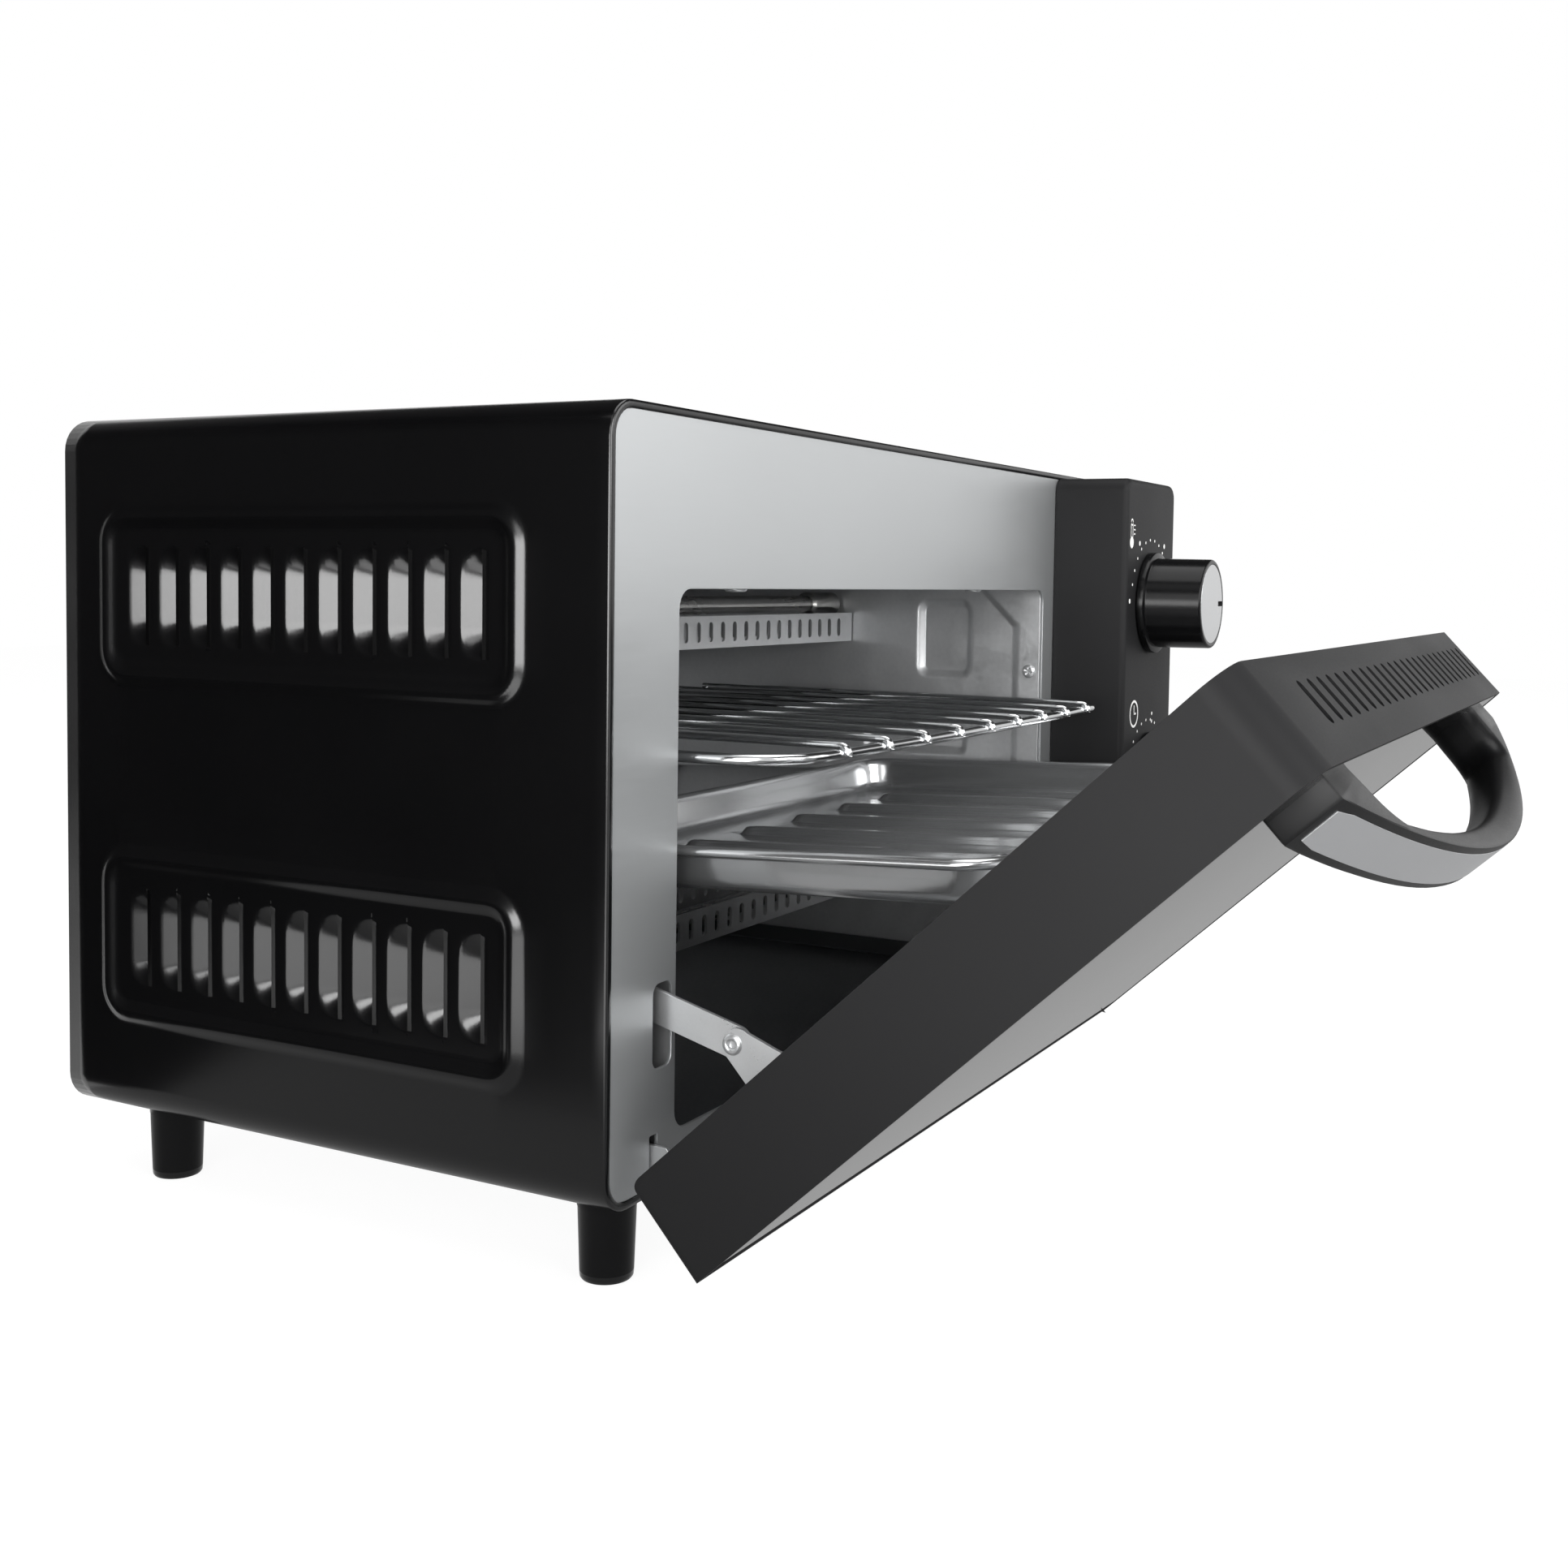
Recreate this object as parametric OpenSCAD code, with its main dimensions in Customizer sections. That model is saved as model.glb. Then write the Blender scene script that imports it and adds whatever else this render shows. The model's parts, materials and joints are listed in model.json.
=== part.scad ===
// Countertop toaster oven, about nine litres, with its drop-down door half open.
// Millimetres. Z = 0 is the surface it stands on, and the origin is under the middle
// of the whole oven at rest. +X is to the right of someone facing the door, +Y is rear.
// Inside the modules, y = 0 is the front face of the steel front frame and z = 0 is
// the underside of the shell.

/* [Shell] */
// Width of the outer shell
shell_w = 352; // [330:1:400]
// Height of the outer shell without its feet
shell_h = 190; // [188:1:230]
// Depth of the outer shell
shell_d = 180; // [178:1:240]
// Thickness of the shell sheet
shell_t = 1; // [0.8:0.1:1.5]
// Outer radius of the shell's long corners
shell_r = 9; // [5:0.5:14]
// Width of the rim folded in round the front
rim_w = 2; // [1.6:0.1:3]
// How far the rim stands in front of the steel frame
rim_proud = 0.4; // [0.2:0.1:1]
// Width of the flange that each side turns in under the base
return_w = 14; // [12:1:20]

/* [Side vents] */
// Distance from one louvre to the next
louvre_pitch = 11.3; // [10:0.1:11.5]
// Open width of a louvre
louvre_w = 6.8; // [4:0.1:8]
// Open height of a louvre
louvre_h = 26; // [16:0.5:28]
// Front end of the bead frames, behind the front frame
bead_front = 22.7; // [18:0.1:30]
// Rear end of the bead frames, in front of the rear edge
bead_rear = 12.6; // [8:0.1:20]
// Height of the raised bead frame, outside
bead_h = 50; // [45:0.5:56]
// Width of the raised bead
bead_w = 7.5; // [4:0.1:8]
// How far the bead stands out of the side
bead_rise = 1.6; // [0.8:0.1:2.5]
// Outer corner radius of the bead frame
bead_r = 11; // [9:0.5:16]
// Middle of the upper vent field below the shell's top
vent_drop = 48; // [40:0.5:55]
// Middle of the lower vent field above the shell's underside
vent_lower_z = 50; // [42:0.5:60]

/* [Front frame] */
// Thickness of the steel front frame
frame_t = 1; // [0.8:0.1:1.5]
// Steel between the oven opening and the control panel
opening_right = 10.3; // [10.2:0.1:12]
// Steel between the oven opening and the shell's top
opening_above = 43.7; // [42:0.1:50]
// Bottom of the opening above the shell's underside
opening_z = 13; // [13:0.5:16]
// Left edge of the opening from the left side of the shell
opening_left = 30.2; // [30:0.1:34]
// Corner radius of the opening
opening_r = 5; // [2:0.5:8]
// Width of the slots that the stay arms pass through
arm_slot_w = 8.2; // [7.8:0.1:8.4]
// Height of the slots that the stay arms pass through
arm_slot_h = 20.8; // [20.8:0.1:24]
// Middle of those slots above the shell's underside
arm_slot_z = 40.8; // [40.4:0.1:41.2]
// Corner radius of those slots
arm_slot_r = 2.6; // [1:0.1:3]

/* [Cooking cavity] */
// Thickness of the cavity sheet
cavity_t = 0.8; // [0.6:0.1:1.2]
// Space between the cavity's back and the rear edge of the shell
cavity_behind = 20; // [16:0.5:24]
// How far the ledges stand in from the side walls
ledge_w = 7.5; // [6.5:0.1:8]
// Thickness of the ledges
ledge_t = 1; // [0.8:0.1:1.5]
// Rear end of the ledges, in front of the cavity's back
ledge_end_gap = 1; // [0.5:0.1:4]

/* [Heating] */
// Diameter of the heater tubes
heater_dia = 6.5; // [5.5:0.1:8]
// Upper heater behind the front frame
heater_upper_y = 89; // [86:0.5:95]
// Upper heater below the cavity's roof
heater_drop = 7.5; // [7:0.1:8]
// Lower heater behind the front frame
heater_lower_y = 71; // [70:0.5:72]
// Lower heater above the shell's underside
heater_lower_z = 38; // [36:0.5:39]
// How far a heater's end stands out of the cavity wall
heater_tail = 14; // [10:0.5:15]
// Diameter of the ceramic insulators
insulator_dia = 12; // [10:0.5:13]
// Length of the ceramic insulators
insulator_len = 8; // [5:0.5:9]
// Height of the slotted guard strips
guard_h = 11; // [9:0.5:12]
// Thickness of the guard strips
guard_t = 1; // [0.8:0.1:1.5]
// Distance from a heater's axis to its front guard strip
guard_front_off = 9; // [7:0.5:12]
// Distance from a heater's axis to its rear guard strip
guard_rear_off = 10; // [7:0.5:12]
// Distance from one guard slot to the next
guard_pitch = 7.9; // [6:0.1:12]
// Width of a guard slot
guard_slot_w = 2.3; // [1.5:0.1:3]
// Height of a guard slot
guard_slot_h = 6.6; // [5:0.1:7]
// Middle of the upper guards below the cavity's roof
guard_drop = 16.3; // [16:0.1:17]
// Middle of the lower front guard above the shell's underside
guard_lower_front_z = 38; // [36:0.5:40]
// Middle of the lower rear guard above the shell's underside
guard_lower_rear_z = 44; // [40:0.5:46]

/* [Control panel] */
// Width of the control panel
panel_w = 60.8; // [56:0.1:64]
// Top of the control panel below the shell's top
panel_top_gap = 1.8; // [1:0.1:3]
// Bottom of the panel above the shell's underside
panel_z = 1.5; // [1:0.1:3]
// Depth of the control panel in front of the frame
panel_d = 28.4; // [26:0.1:32]
// Wall of the control panel
panel_t = 2; // [1.5:0.1:3]
// Thermostat knob below the shell's top
temp_drop = 48; // [44:0.5:52]
// Timer knob above the shell's underside
timer_z = 73; // [70:0.5:78]
// Knobs from the right side of the shell
knob_side = 30.4; // [28:0.1:32]

/* [Knobs] */
// Diameter of the knob's foot flange
knob_flange_dia = 38.4; // [36:0.1:42]
// Thickness of the knob's foot flange
knob_flange_t = 2.5; // [2:0.1:4]
// Diameter of the knob's grip
knob_dia = 33.6; // [28:0.1:35]
// Length of the knob from panel side to front
knob_len = 23.4; // [18:0.1:28]
// Diameter of the silver disc in the knob's front
cap_dia = 29.8; // [24:0.1:30]
// Thickness of the silver disc
cap_t = 0.8; // [0.5:0.1:1.2]
// Diameter of the shafts
shaft_dia = 6; // [5:0.1:7]
// Depth of the shaft inside the knob
shaft_grip = 14; // [10:0.5:16]
// Running clearance round a shaft or pin, on the radius
run_gap = 0.05; // [0.03:0.01:0.1]

/* [Controls inside] */
// Width and height of the thermostat's case
thermostat_w = 34; // [28:1:40]
// Depth of the thermostat's case
thermostat_d = 24; // [18:1:30]
// Width and height of the timer's case
timer_w = 42; // [36:1:46]
// Depth of the timer's case
timer_d = 30; // [24:1:36]
// Diameter of the timer's bell
bell_dia = 34; // [28:1:40]
// Depth of the timer's bell
bell_d = 14; // [10:1:18]
// Diameter of the threaded noses round the shafts
nose_dia = 9.6; // [9:0.1:11]
// Length of those noses in front of the frame
nose_len = 12; // [8:0.5:16]

/* [Feet] */
// Height of the feet
foot_h = 21; // [20:0.5:30]
// Diameter of a foot at its top
foot_top_dia = 14.7; // [12:0.1:18]
// Diameter of a foot at its sole
foot_sole_dia = 13.3; // [10:0.1:16]
// Feet from the sides of the shell
foot_side = 17.5; // [17:0.5:20]
// Front feet behind the front frame
foot_front_y = 11; // [10:0.5:16]
// Rear feet in front of the rear edge
foot_rear_gap = 22.5; // [14:0.5:30]
// Diameter of the recess for the foot's screw
foot_bore_dia = 7; // [6.6:0.1:8]
// Thickness of the foot above its recess
foot_web = 6; // [4:0.5:8]

/* [Door] */
// Top of the shut door below the shell's top
door_top_gap = 1.8; // [1:0.1:3]
// Depth of the door's case
door_d = 26.5; // [25:0.1:28]
// Wall of the door's case
door_t = 1.2; // [1:0.1:1.4]
// Radius of the door's upper corners
door_r = 9; // [5:0.5:12]
// Radius of the door's lower corners
door_low_r = 2; // [1.5:0.1:3]
// Bottom of the door above the shell's underside, when shut
door_z = 3.8; // [3.6:0.1:4.2]
// Gap behind the shut door
door_gap = 0.5; // [0.4:0.1:1]
// Gap between the door and the control panel
door_side_gap = 0.9; // [0.5:0.1:1.2]
// Gap between the door and the left side of the shell
door_left_inset = 0.5; // [0.5:0.1:1.5]
// How far the door stands open at rest, in degrees
open_angle = 47.2; // [40:0.1:50]
// Hinge pin in front of the frame
pin_y = 9.8; // [9.6:0.1:10.4]
// Hinge pin below the shell's underside
pin_drop = 0.2; // [0:0.1:0.4]
// Thickness of the front glass
glass_t = 3.5; // [3:0.1:4]
// Front glass behind the lips of the case
glass_inset = 1; // [0.6:0.1:2]
// Depth of the recess in front of the inner panel
inner_recess = 8; // [7.8:0.1:8.4]
// Thickness of the inner panel
inner_t = 1; // [0.6:0.1:1.2]
// Inner panel between the window and each side of the opening
window_side = 27.3; // [22:0.1:40]
// Inner panel between the window and the door's top
window_above = 28.4; // [24:0.1:40]
// Bottom of that window above the door's bottom
window_z = 52; // [45:1:58]
// Thickness of the inner glass
inner_glass_t = 3; // [2.5:0.1:4]
// How far the inner glass laps over the window's edge
inner_glass_lap = 8; // [5:0.5:12]
// Plain length of the door's top at each end of its cooling slots
slot_margin = 20; // [20:1:40]
// Distance from one cooling slot to the next
slot_pitch = 9.8; // [8:0.1:10]
// Width of a cooling slot
slot_w = 2.2; // [1.5:0.1:3]
// Length of a cooling slot
slot_len = 11; // [8:0.1:14]
// Middle of the cooling slots, in front of the door's rear edge
slot_y = 12.5; // [11:0.1:14]

/* [Handle] */
// Handle's ends from the sides of the door
handle_side = 21.9; // [15:0.1:40]
// Height of the handle bar
handle_h = 15.7; // [13:0.1:18]
// Top of the handle below the door's top
handle_drop = 5.2; // [4:0.1:8]
// How far the handle's ends stand out of the glass
handle_end = 6.5; // [5:0.1:9]
// How far the middle stands out beyond the ends
handle_bow = 29.2; // [26:0.1:32]
// Thickness of the bar in the middle
handle_bar_t = 7.9; // [7:0.1:9]
// Length of each leg along the door
handle_leg = 27; // [22:0.5:32]
// Rise of the bar's inner curve across its opening
handle_inner_bow = 14; // [10:0.5:16]
// Thickness of the silver trim
trim_t = 1.2; // [0.8:0.1:1.6]
// Edge of the handle left above and below the trim
trim_edge = 2.2; // [1.5:0.1:3]
// Edge of the handle left at each end of the trim
trim_end = 5; // [3:0.5:8]

/* [Hinges and stays] */
// Thickness of the hinge plates and stay arms
plate_t = 1.2; // [1:0.1:1.2]
// Hinge leaf outside the opening's edge, to its middle
leaf_out = 7.2; // [7.1:0.1:7.3]
// Stay arm outside the opening's edge, to its middle
arm_out = 5.7; // [5.6:0.1:5.8]
// Left fixed bracket outside the opening's edge, to its middle
tab_out_left = 9.4; // [9:0.1:9.8]
// Diameter of the hinge pins
pin_dia = 3; // [2.5:0.1:3.5]
// Diameter of the eyes round the hinge pins
eye_dia = 6.8; // [6.4:0.1:7]
// Width of the hinge leaf's upright
leaf_w = 8.5; // [7:0.1:9]
// Top of the hinge leaf above the door's bottom
leaf_top = 58; // [56:0.5:64]
// Stay rivet behind the frame when the door is shut
rivet_y = 11.7; // [11.4:0.1:12]
// Stay rivet above the shell's underside when the door is shut
rivet_z = 34.7; // [34.5:0.1:34.9]
// Diameter of the stay rivet
rivet_dia = 3.8; // [3.4:0.1:4]
// Width of the stay arm
arm_w = 8.3; // [7:0.1:8.4]
// Length of the stay arm, rivet to its rear eye
arm_len = 72; // [60:1:80]
// Slope of the stay arm, up towards the rear, in degrees
arm_slope = 14.7; // [14.4:0.1:15]

/* [Rack] */
// How much shorter the rack is than the cavity
rack_short = 3; // [2:0.5:8]
// Rack's outer wire below the cavity's roof
rack_drop = 42; // [40:0.5:44]
// Diameter of the outer wire
rack_rim_dia = 3; // [2.6:0.1:3.4]
// Diameter of the inner wires
rack_wire_dia = 2; // [1.6:0.1:2.4]
// Distance from one inner wire to the next
rack_pitch = 23; // [16:0.5:24]
// Corner radius of the rack
rack_r = 20; // [16:0.5:20]
// How far the rack stands out of the frame at rest
rack_out = 28; // [26:0.5:30]
// Gap between a rack or tray and the ledges under it
rest_gap = 0.3; // [0.2:0.05:0.5]
// Gap from the rack and the tray to each side wall
side_gap = 4.5; // [4:0.1:5]

/* [Baking tray] */
// How much shorter the tray is than the cavity
tray_short = 7; // [6:0.5:18]
// Depth of the tray
tray_d = 12; // [10:0.5:14]
// Thickness of the tray sheet
tray_t = 0.8; // [0.6:0.1:1.2]
// Diameter of the tray's rolled rim
tray_rim = 3; // [2.4:0.1:3.4]
// Corner radius of the tray
tray_r = 12; // [9:0.5:20]
// Tray's rear edge below the rack
tray_drop = 25; // [24:0.5:26]
// Gap from the tray's front edge to the door at rest, level with the tray's rear edge
tray_door_gap = 14.4; // [14:0.1:16]
// Slope of the tray, up towards the front, in degrees
tray_slope = 2.5; // [2:0.1:3]
// Distance from one stiffening rib to the next
tray_rib_pitch = 33; // [24:1:34]
// Width of a rib
tray_rib_w = 8; // [5:0.5:12]
// Height of a rib
tray_rib_h = 1.5; // [0.8:0.1:2.5]

/* [Crumb tray and rear] */
// Height of the crumb tray's walls
crumb_h = 7; // [5:0.5:8]
// Gap between the crumb tray and the cavity's sides
crumb_gap = 2; // [1:0.1:4]
// Height of the crumb tray's rear lip
crumb_lip_h = 13; // [12:0.5:16]
// Thickness of the back panel
back_t = 1; // [0.8:0.1:1.5]
// Distance from one vent slot in the back to the next
back_pitch = 18; // [14:0.5:20]
// Outer diameter of the cord bushing's flange
bushing_dia = 18; // [15:0.5:22]
// Bore of the cord bushing
bushing_bore = 7; // [6:0.1:8]
// How far the bushing's flange stands out of the back
bushing_proud = 3; // [2:0.1:5]

/* [Hidden] */
$fn = 48;
eps = 0.01;

// Sideways places, measured from the middle of the shell
side_x = shell_w / 2;
opening_w = shell_w - opening_left - panel_w - opening_right;
opening_h = shell_h - opening_z - opening_above;
open_l = opening_left - side_x;
open_r = open_l + opening_w;
open_mid = (open_l + open_r) / 2;
open_top = opening_z + opening_h;
panel_l = side_x - panel_w;
door_l = door_left_inset - side_x;
door_right = panel_l - door_side_gap;
door_w = door_right - door_l;
door_h = shell_h - door_z - door_top_gap;
panel_h = shell_h - panel_z - panel_top_gap;
door_mid = (door_l + door_right) / 2;
knob_x = side_x - knob_side;
foot_x = side_x - foot_side;
foot_rear_y = shell_d - foot_rear_gap;
temp_z = shell_h - temp_drop;

// Side vents: as many louvres as fit inside the bead frame
bead_len = shell_d - bead_front - bead_rear;
vent_y = bead_front + bead_len / 2;
vent_upper_z = shell_h - vent_drop;
louvre_count = floor((bead_len - 2 * bead_w) / louvre_pitch);

// Cavity, whose sheets start behind the front frame
wall_l = open_l - 0.4;
wall_r = open_r + 0.1;
cav_front = frame_t;
cav_back = shell_d - cavity_behind;
cavity_d = cav_back - cav_front;
roof_z = open_top + 0.7;
pan_top = shell_t + 1;
heater_upper_z = roof_z - heater_drop;
guard_upper_z = roof_z - guard_drop;

// Rack and tray, from the cavity they slide in
rack_z = roof_z - rack_drop;
rack_len = cavity_d - rack_short;
tray_z = rack_z - tray_drop;
tray_len = cavity_d - tray_short;
tray_rear_y = tray_len + tray_door_gap - pin_y - (tray_z + pin_drop) * tan(open_angle);

// Where a heater's end, a clearance hole or a screw head has no size of its own
hole_gap = 0.3;
screw_r = 1.6;
head_r = 3;
head_t = 1.6;
right_tab_out = arm_out;

// Door, shut: the glass and panel planes as distances in front of the frame
glass_front = door_gap + door_d - glass_inset;
glass_back = glass_front - glass_t;
inner_front = door_gap + inner_recess + inner_t;
window_w = opening_w - 2 * window_side;
window_h = door_h - window_z - window_above;
slot_count = floor((door_w - 2 * slot_margin) / slot_pitch);
handle_len = door_w - 2 * handle_side;
handle_z = door_h - handle_drop - handle_h;
handle_face = glass_front + handle_end;
handle_peak = handle_face + handle_bow;
handle_half = handle_len / 2;
handle_r = (pow(handle_half, 2) + pow(handle_bow, 2)) / (2 * handle_bow);
hole_half = handle_half - handle_leg;
hole_peak = handle_peak - handle_bar_t;
hole_r = (pow(hole_half, 2) + pow(handle_inner_bow, 2)) / (2 * handle_inner_bow);
leg_screw_x = handle_half - handle_leg / 2;

// Reach in front of and behind the frame at rest, which centres the oven on the origin
tip_y = pin_y - handle_peak;
tip_z = door_z + handle_z + handle_h + pin_drop;
front_reach = pin_y - tip_y * cos(open_angle) + tip_z * sin(open_angle);
rear_reach = shell_d + bushing_proud;
shift_y = (front_reach - rear_reach) / 2;

module oven() {
  translate([0, shift_y, foot_h])
    children();
}

// Turns what is drawn for the shut door to where the door stands at rest
module door_at_rest() {
  oven()
    translate([0, -pin_y, -pin_drop])
      rotate([open_angle, 0, 0])
        translate([0, pin_y, pin_drop])
          children();
}

// Outline with separate radii for the upper and lower corners
module sheet_outline(w, h, top_r, low_r) {
  union() {
    for (s = [-1, 1]) {
      translate([s * (w / 2 - top_r), h - top_r])
        circle(r = top_r);
      translate([s * (w / 2 - low_r), low_r])
        circle(r = low_r);
    }
    translate([-w / 2 + top_r, h / 2])
      square([w - 2 * top_r, h / 2]);
    translate([-w / 2 + low_r, 0])
      square([w - 2 * low_r, h / 2]);
    translate([-w / 2, low_r])
      square([w, h - top_r - low_r]);
  }
}

// Extrudes an outline drawn in x and z over the depth from y0 to y1
module deep(y0, y1) {
  translate([0, y1, 0])
    rotate([90, 0, 0])
      linear_extrude(height = y1 - y0)
        children();
}

// Extrudes an outline drawn in y and z over the width from x0 to x1
module wide(x0, x1) {
  translate([x0, 0, 0])
    rotate([90, 0, 90])
      linear_extrude(height = x1 - x0)
        children();
}

// Round bar or bore along y
module bar_y(x, z, r, y0, y1) {
  translate([x, y1, z])
    rotate([90, 0, 0])
      cylinder(r = r, h = y1 - y0);
}

// Round bar or bore along x
module bar_x(y, z, r, x0, x1) {
  translate([x0, y, z])
    rotate([0, 90, 0])
      cylinder(r = r, h = x1 - x0);
}

module slot_outline(w, h) {
  square([w, h - w], center = true);
  for (s = [-1, 1])
    translate([0, s * (h - w) / 2])
      circle(d = w);
}

module vent_louvres() {
  for (z = [vent_lower_z, vent_upper_z], i = [0:louvre_count - 1])
    translate([vent_y + (i - (louvre_count - 1) / 2) * louvre_pitch, z])
      slot_outline(louvre_w, louvre_h);
}

module vent_beads() {
  for (z = [vent_lower_z, vent_upper_z])
    translate([vent_y, z - bead_h / 2])
      difference() {
        sheet_outline(bead_len, bead_h, bead_r, bead_r);
        translate([0, bead_w])
          sheet_outline(bead_len - 2 * bead_w, bead_h - 2 * bead_w,
                        bead_r - bead_w, bead_r - bead_w);
      }
}

module outer_shell() {
  color("#161617")
    oven() {
      difference() {
        deep(-rim_proud, shell_d)
          sheet_outline(shell_w, shell_h, shell_r, shell_r);
        deep(frame_t, shell_d + eps)
          translate([0, shell_t])
            sheet_outline(shell_w - 2 * shell_t, shell_h - 2 * shell_t,
                          shell_r - shell_t, shell_r - shell_t);
        deep(-rim_proud - eps, frame_t + eps)
          translate([0, rim_w])
            sheet_outline(shell_w - 2 * rim_w, shell_h - 2 * rim_w,
                          shell_r - rim_w, shell_r - rim_w);
        translate([shell_r + return_w - side_x, frame_t, -eps])
          cube([shell_w - 2 * (shell_r + return_w), shell_d, shell_t + 2 * eps]);
        wide(-side_x - eps, side_x + eps)
          vent_louvres();
        for (s = [-1, 1], y = [foot_front_y, foot_rear_y])
          translate([s * foot_x, y, -eps])
            cylinder(r = screw_r, h = shell_t + 2 * eps);
      }
      wide(-side_x - bead_rise, shell_t / 2 - side_x)
        vent_beads();
      wide(side_x - shell_t / 2, side_x + bead_rise)
        vent_beads();
    }
}

module base_pan() {
  color("#8f9193")
    oven()
      difference() {
        translate([shell_r - side_x, frame_t, shell_t])
          cube([shell_w - 2 * shell_r, shell_d - back_t - frame_t, pan_top - shell_t]);
        for (s = [-1, 1], y = [foot_front_y, foot_rear_y])
          translate([s * foot_x, y, shell_t - eps])
            cylinder(r = screw_r, h = pan_top);
      }
}

crumb_l = wall_l + crumb_gap;
crumb_w = wall_r - wall_l - 2 * crumb_gap;
crumb_slot_top = pan_top + crumb_h + 2 * rest_gap;
bushing_z = 40;
back_screw_inset = 8;
back_slot_w = 3.2;
back_slots = floor(opening_w / back_pitch) - 1;

module back_panel() {
  color("#2a2a2b")
    oven()
      difference() {
        deep(shell_d - back_t, shell_d)
          translate([0, shell_t])
            sheet_outline(shell_w - 2 * shell_t, shell_h - 2 * shell_t,
                          shell_r - shell_t, shell_r - shell_t);
        translate([crumb_l - crumb_gap / 2, shell_d - back_t - eps, -eps])
          cube([crumb_w + crumb_gap, back_t + 2 * eps, crumb_slot_top + eps]);
        deep(shell_d - back_t - eps, shell_d + eps)
          for (z = [vent_lower_z, vent_upper_z], i = [0:back_slots - 1])
            translate([open_mid + (i - (back_slots - 1) / 2) * back_pitch, z])
              slot_outline(back_slot_w, louvre_h);
        bar_y(knob_x, bushing_z, bushing_bore / 2 + 2, shell_d - back_t - eps, shell_d + eps);
        back_screw_holes();
      }
}

module back_screw_spots() {
  for (x = [-side_x + back_screw_inset, side_x - back_screw_inset], z = [shell_h / 4, shell_h * 3 / 4])
    translate([x, 0, z])
      children();
  translate([0, 0, shell_h - back_screw_inset])
    children();
}

module back_screw_holes() {
  back_screw_spots()
    bar_y(0, 0, screw_r, shell_d - back_t - eps, shell_d + eps);
}

module back_screws() {
  color("#7d7f82")
    oven()
      back_screw_spots() {
        bar_y(0, 0, screw_r, shell_d - 3 * back_t, shell_d);
        bar_y(0, 0, head_r, shell_d, shell_d + head_t);
      }
}

// Places of the hinge parts outside each edge of the opening
function out_x(side, out) = side < 0 ? open_l - out : open_r + out;
tab_slot_w = 3.4;
tab_slot_z = [2.6, 14.6];
frame_low = rim_w;

module front_frame() {
  color("#b9bbbd")
    oven()
      difference() {
        deep(0, frame_t)
          translate([0, frame_low])
            sheet_outline(shell_w - 2 * rim_w, shell_h - 2 * rim_w,
                          shell_r - rim_w, shell_r - rim_w);
        deep(-eps, frame_t + eps) {
          translate([open_mid, opening_z])
            sheet_outline(opening_w, opening_h, opening_r, opening_r);
          for (side = [-1, 1])
            translate([out_x(side, (arm_out + leaf_out) / 2 - 0.5), arm_slot_z - arm_slot_h / 2])
              sheet_outline(arm_slot_w, arm_slot_h, arm_slot_r, arm_slot_r);
          translate([out_x(-1, tab_out_left) - tab_slot_w / 2, tab_slot_z[0]])
            square([tab_slot_w, tab_slot_z[1] - tab_slot_z[0]]);
          translate([out_x(1, right_tab_out) - tab_slot_w / 2, tab_slot_z[0]])
            square([tab_slot_w, tab_slot_z[1] - tab_slot_z[0]]);
        }
        for (z = [temp_z, timer_z])
          bar_y(knob_x, z, nose_dia / 2, -eps, frame_t + eps);
      }
}

// Side wall of the cavity: the sheet, with its two ledges folded inwards
module cavity_wall(x, inward) {
  out = inward > 0 ? x - cavity_t : x;
  ledge_x = inward > 0 ? x - cavity_t / 2 : x - ledge_w;
  ledge_span = ledge_w + cavity_t / 2;
  difference() {
    union() {
      translate([out, cav_front, pan_top])
        cube([cavity_t, shell_d - back_t - cav_front, roof_z - pan_top]);
      translate([ledge_x, cav_front + ledge_w, rack_z - rack_rim_dia / 2 - rest_gap - ledge_t])
        cube([ledge_span, cavity_d - ledge_w - ledge_end_gap, ledge_t]);
      intersection() {
        translate([ledge_x, tray_rear_y, tray_z])
          rotate([-tray_slope, 0, 0])
            translate([0, -cavity_d, -tray_rim - rest_gap - ledge_t])
              cube([ledge_span, 2 * cavity_d, ledge_t]);
        translate([ledge_x, cav_front + ledge_w, 0])
          cube([ledge_span, cavity_d - ledge_w - ledge_end_gap, shell_h]);
      }
    }
    bar_x(heater_upper_y, heater_upper_z, heater_dia / 2, x - cavity_t - eps, x + cavity_t + eps);
    bar_x(heater_lower_y, heater_lower_z, heater_dia / 2, x - cavity_t - eps, x + cavity_t + eps);
  }
}

module cavity_left_wall() {
  color("#9c9ea0")
    oven()
      cavity_wall(wall_l, 1);
}

module cavity_right_wall() {
  color("#a6a8aa")
    oven()
      cavity_wall(wall_r, -1);
}

module cavity_roof() {
  color("#8c8e90")
    oven()
      translate([wall_l - cavity_t, cav_front, roof_z])
        cube([wall_r - wall_l + 2 * cavity_t, cavity_d + cavity_t, cavity_t]);
}

module cavity_back() {
  color("#77797b")
    oven()
      difference() {
        translate([wall_l, cav_back, pan_top])
          cube([wall_r - wall_l, cavity_t, roof_z - pan_top]);
        translate([crumb_l - crumb_gap / 2, cav_back - eps, pan_top - eps])
          cube([crumb_w + crumb_gap, cavity_t + 2 * eps, crumb_slot_top - pan_top]);
      }
}

module heater(y, z) {
  bar_x(y, z, heater_dia / 2, wall_l - cavity_t - heater_tail, wall_r + cavity_t + heater_tail);
}

module heater_upper() {
  color("#c9c6bf")
    oven()
      heater(heater_upper_y, heater_upper_z);
}

module heater_lower() {
  color("#c9c6bf")
    oven()
      heater(heater_lower_y, heater_lower_z);
}

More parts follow.
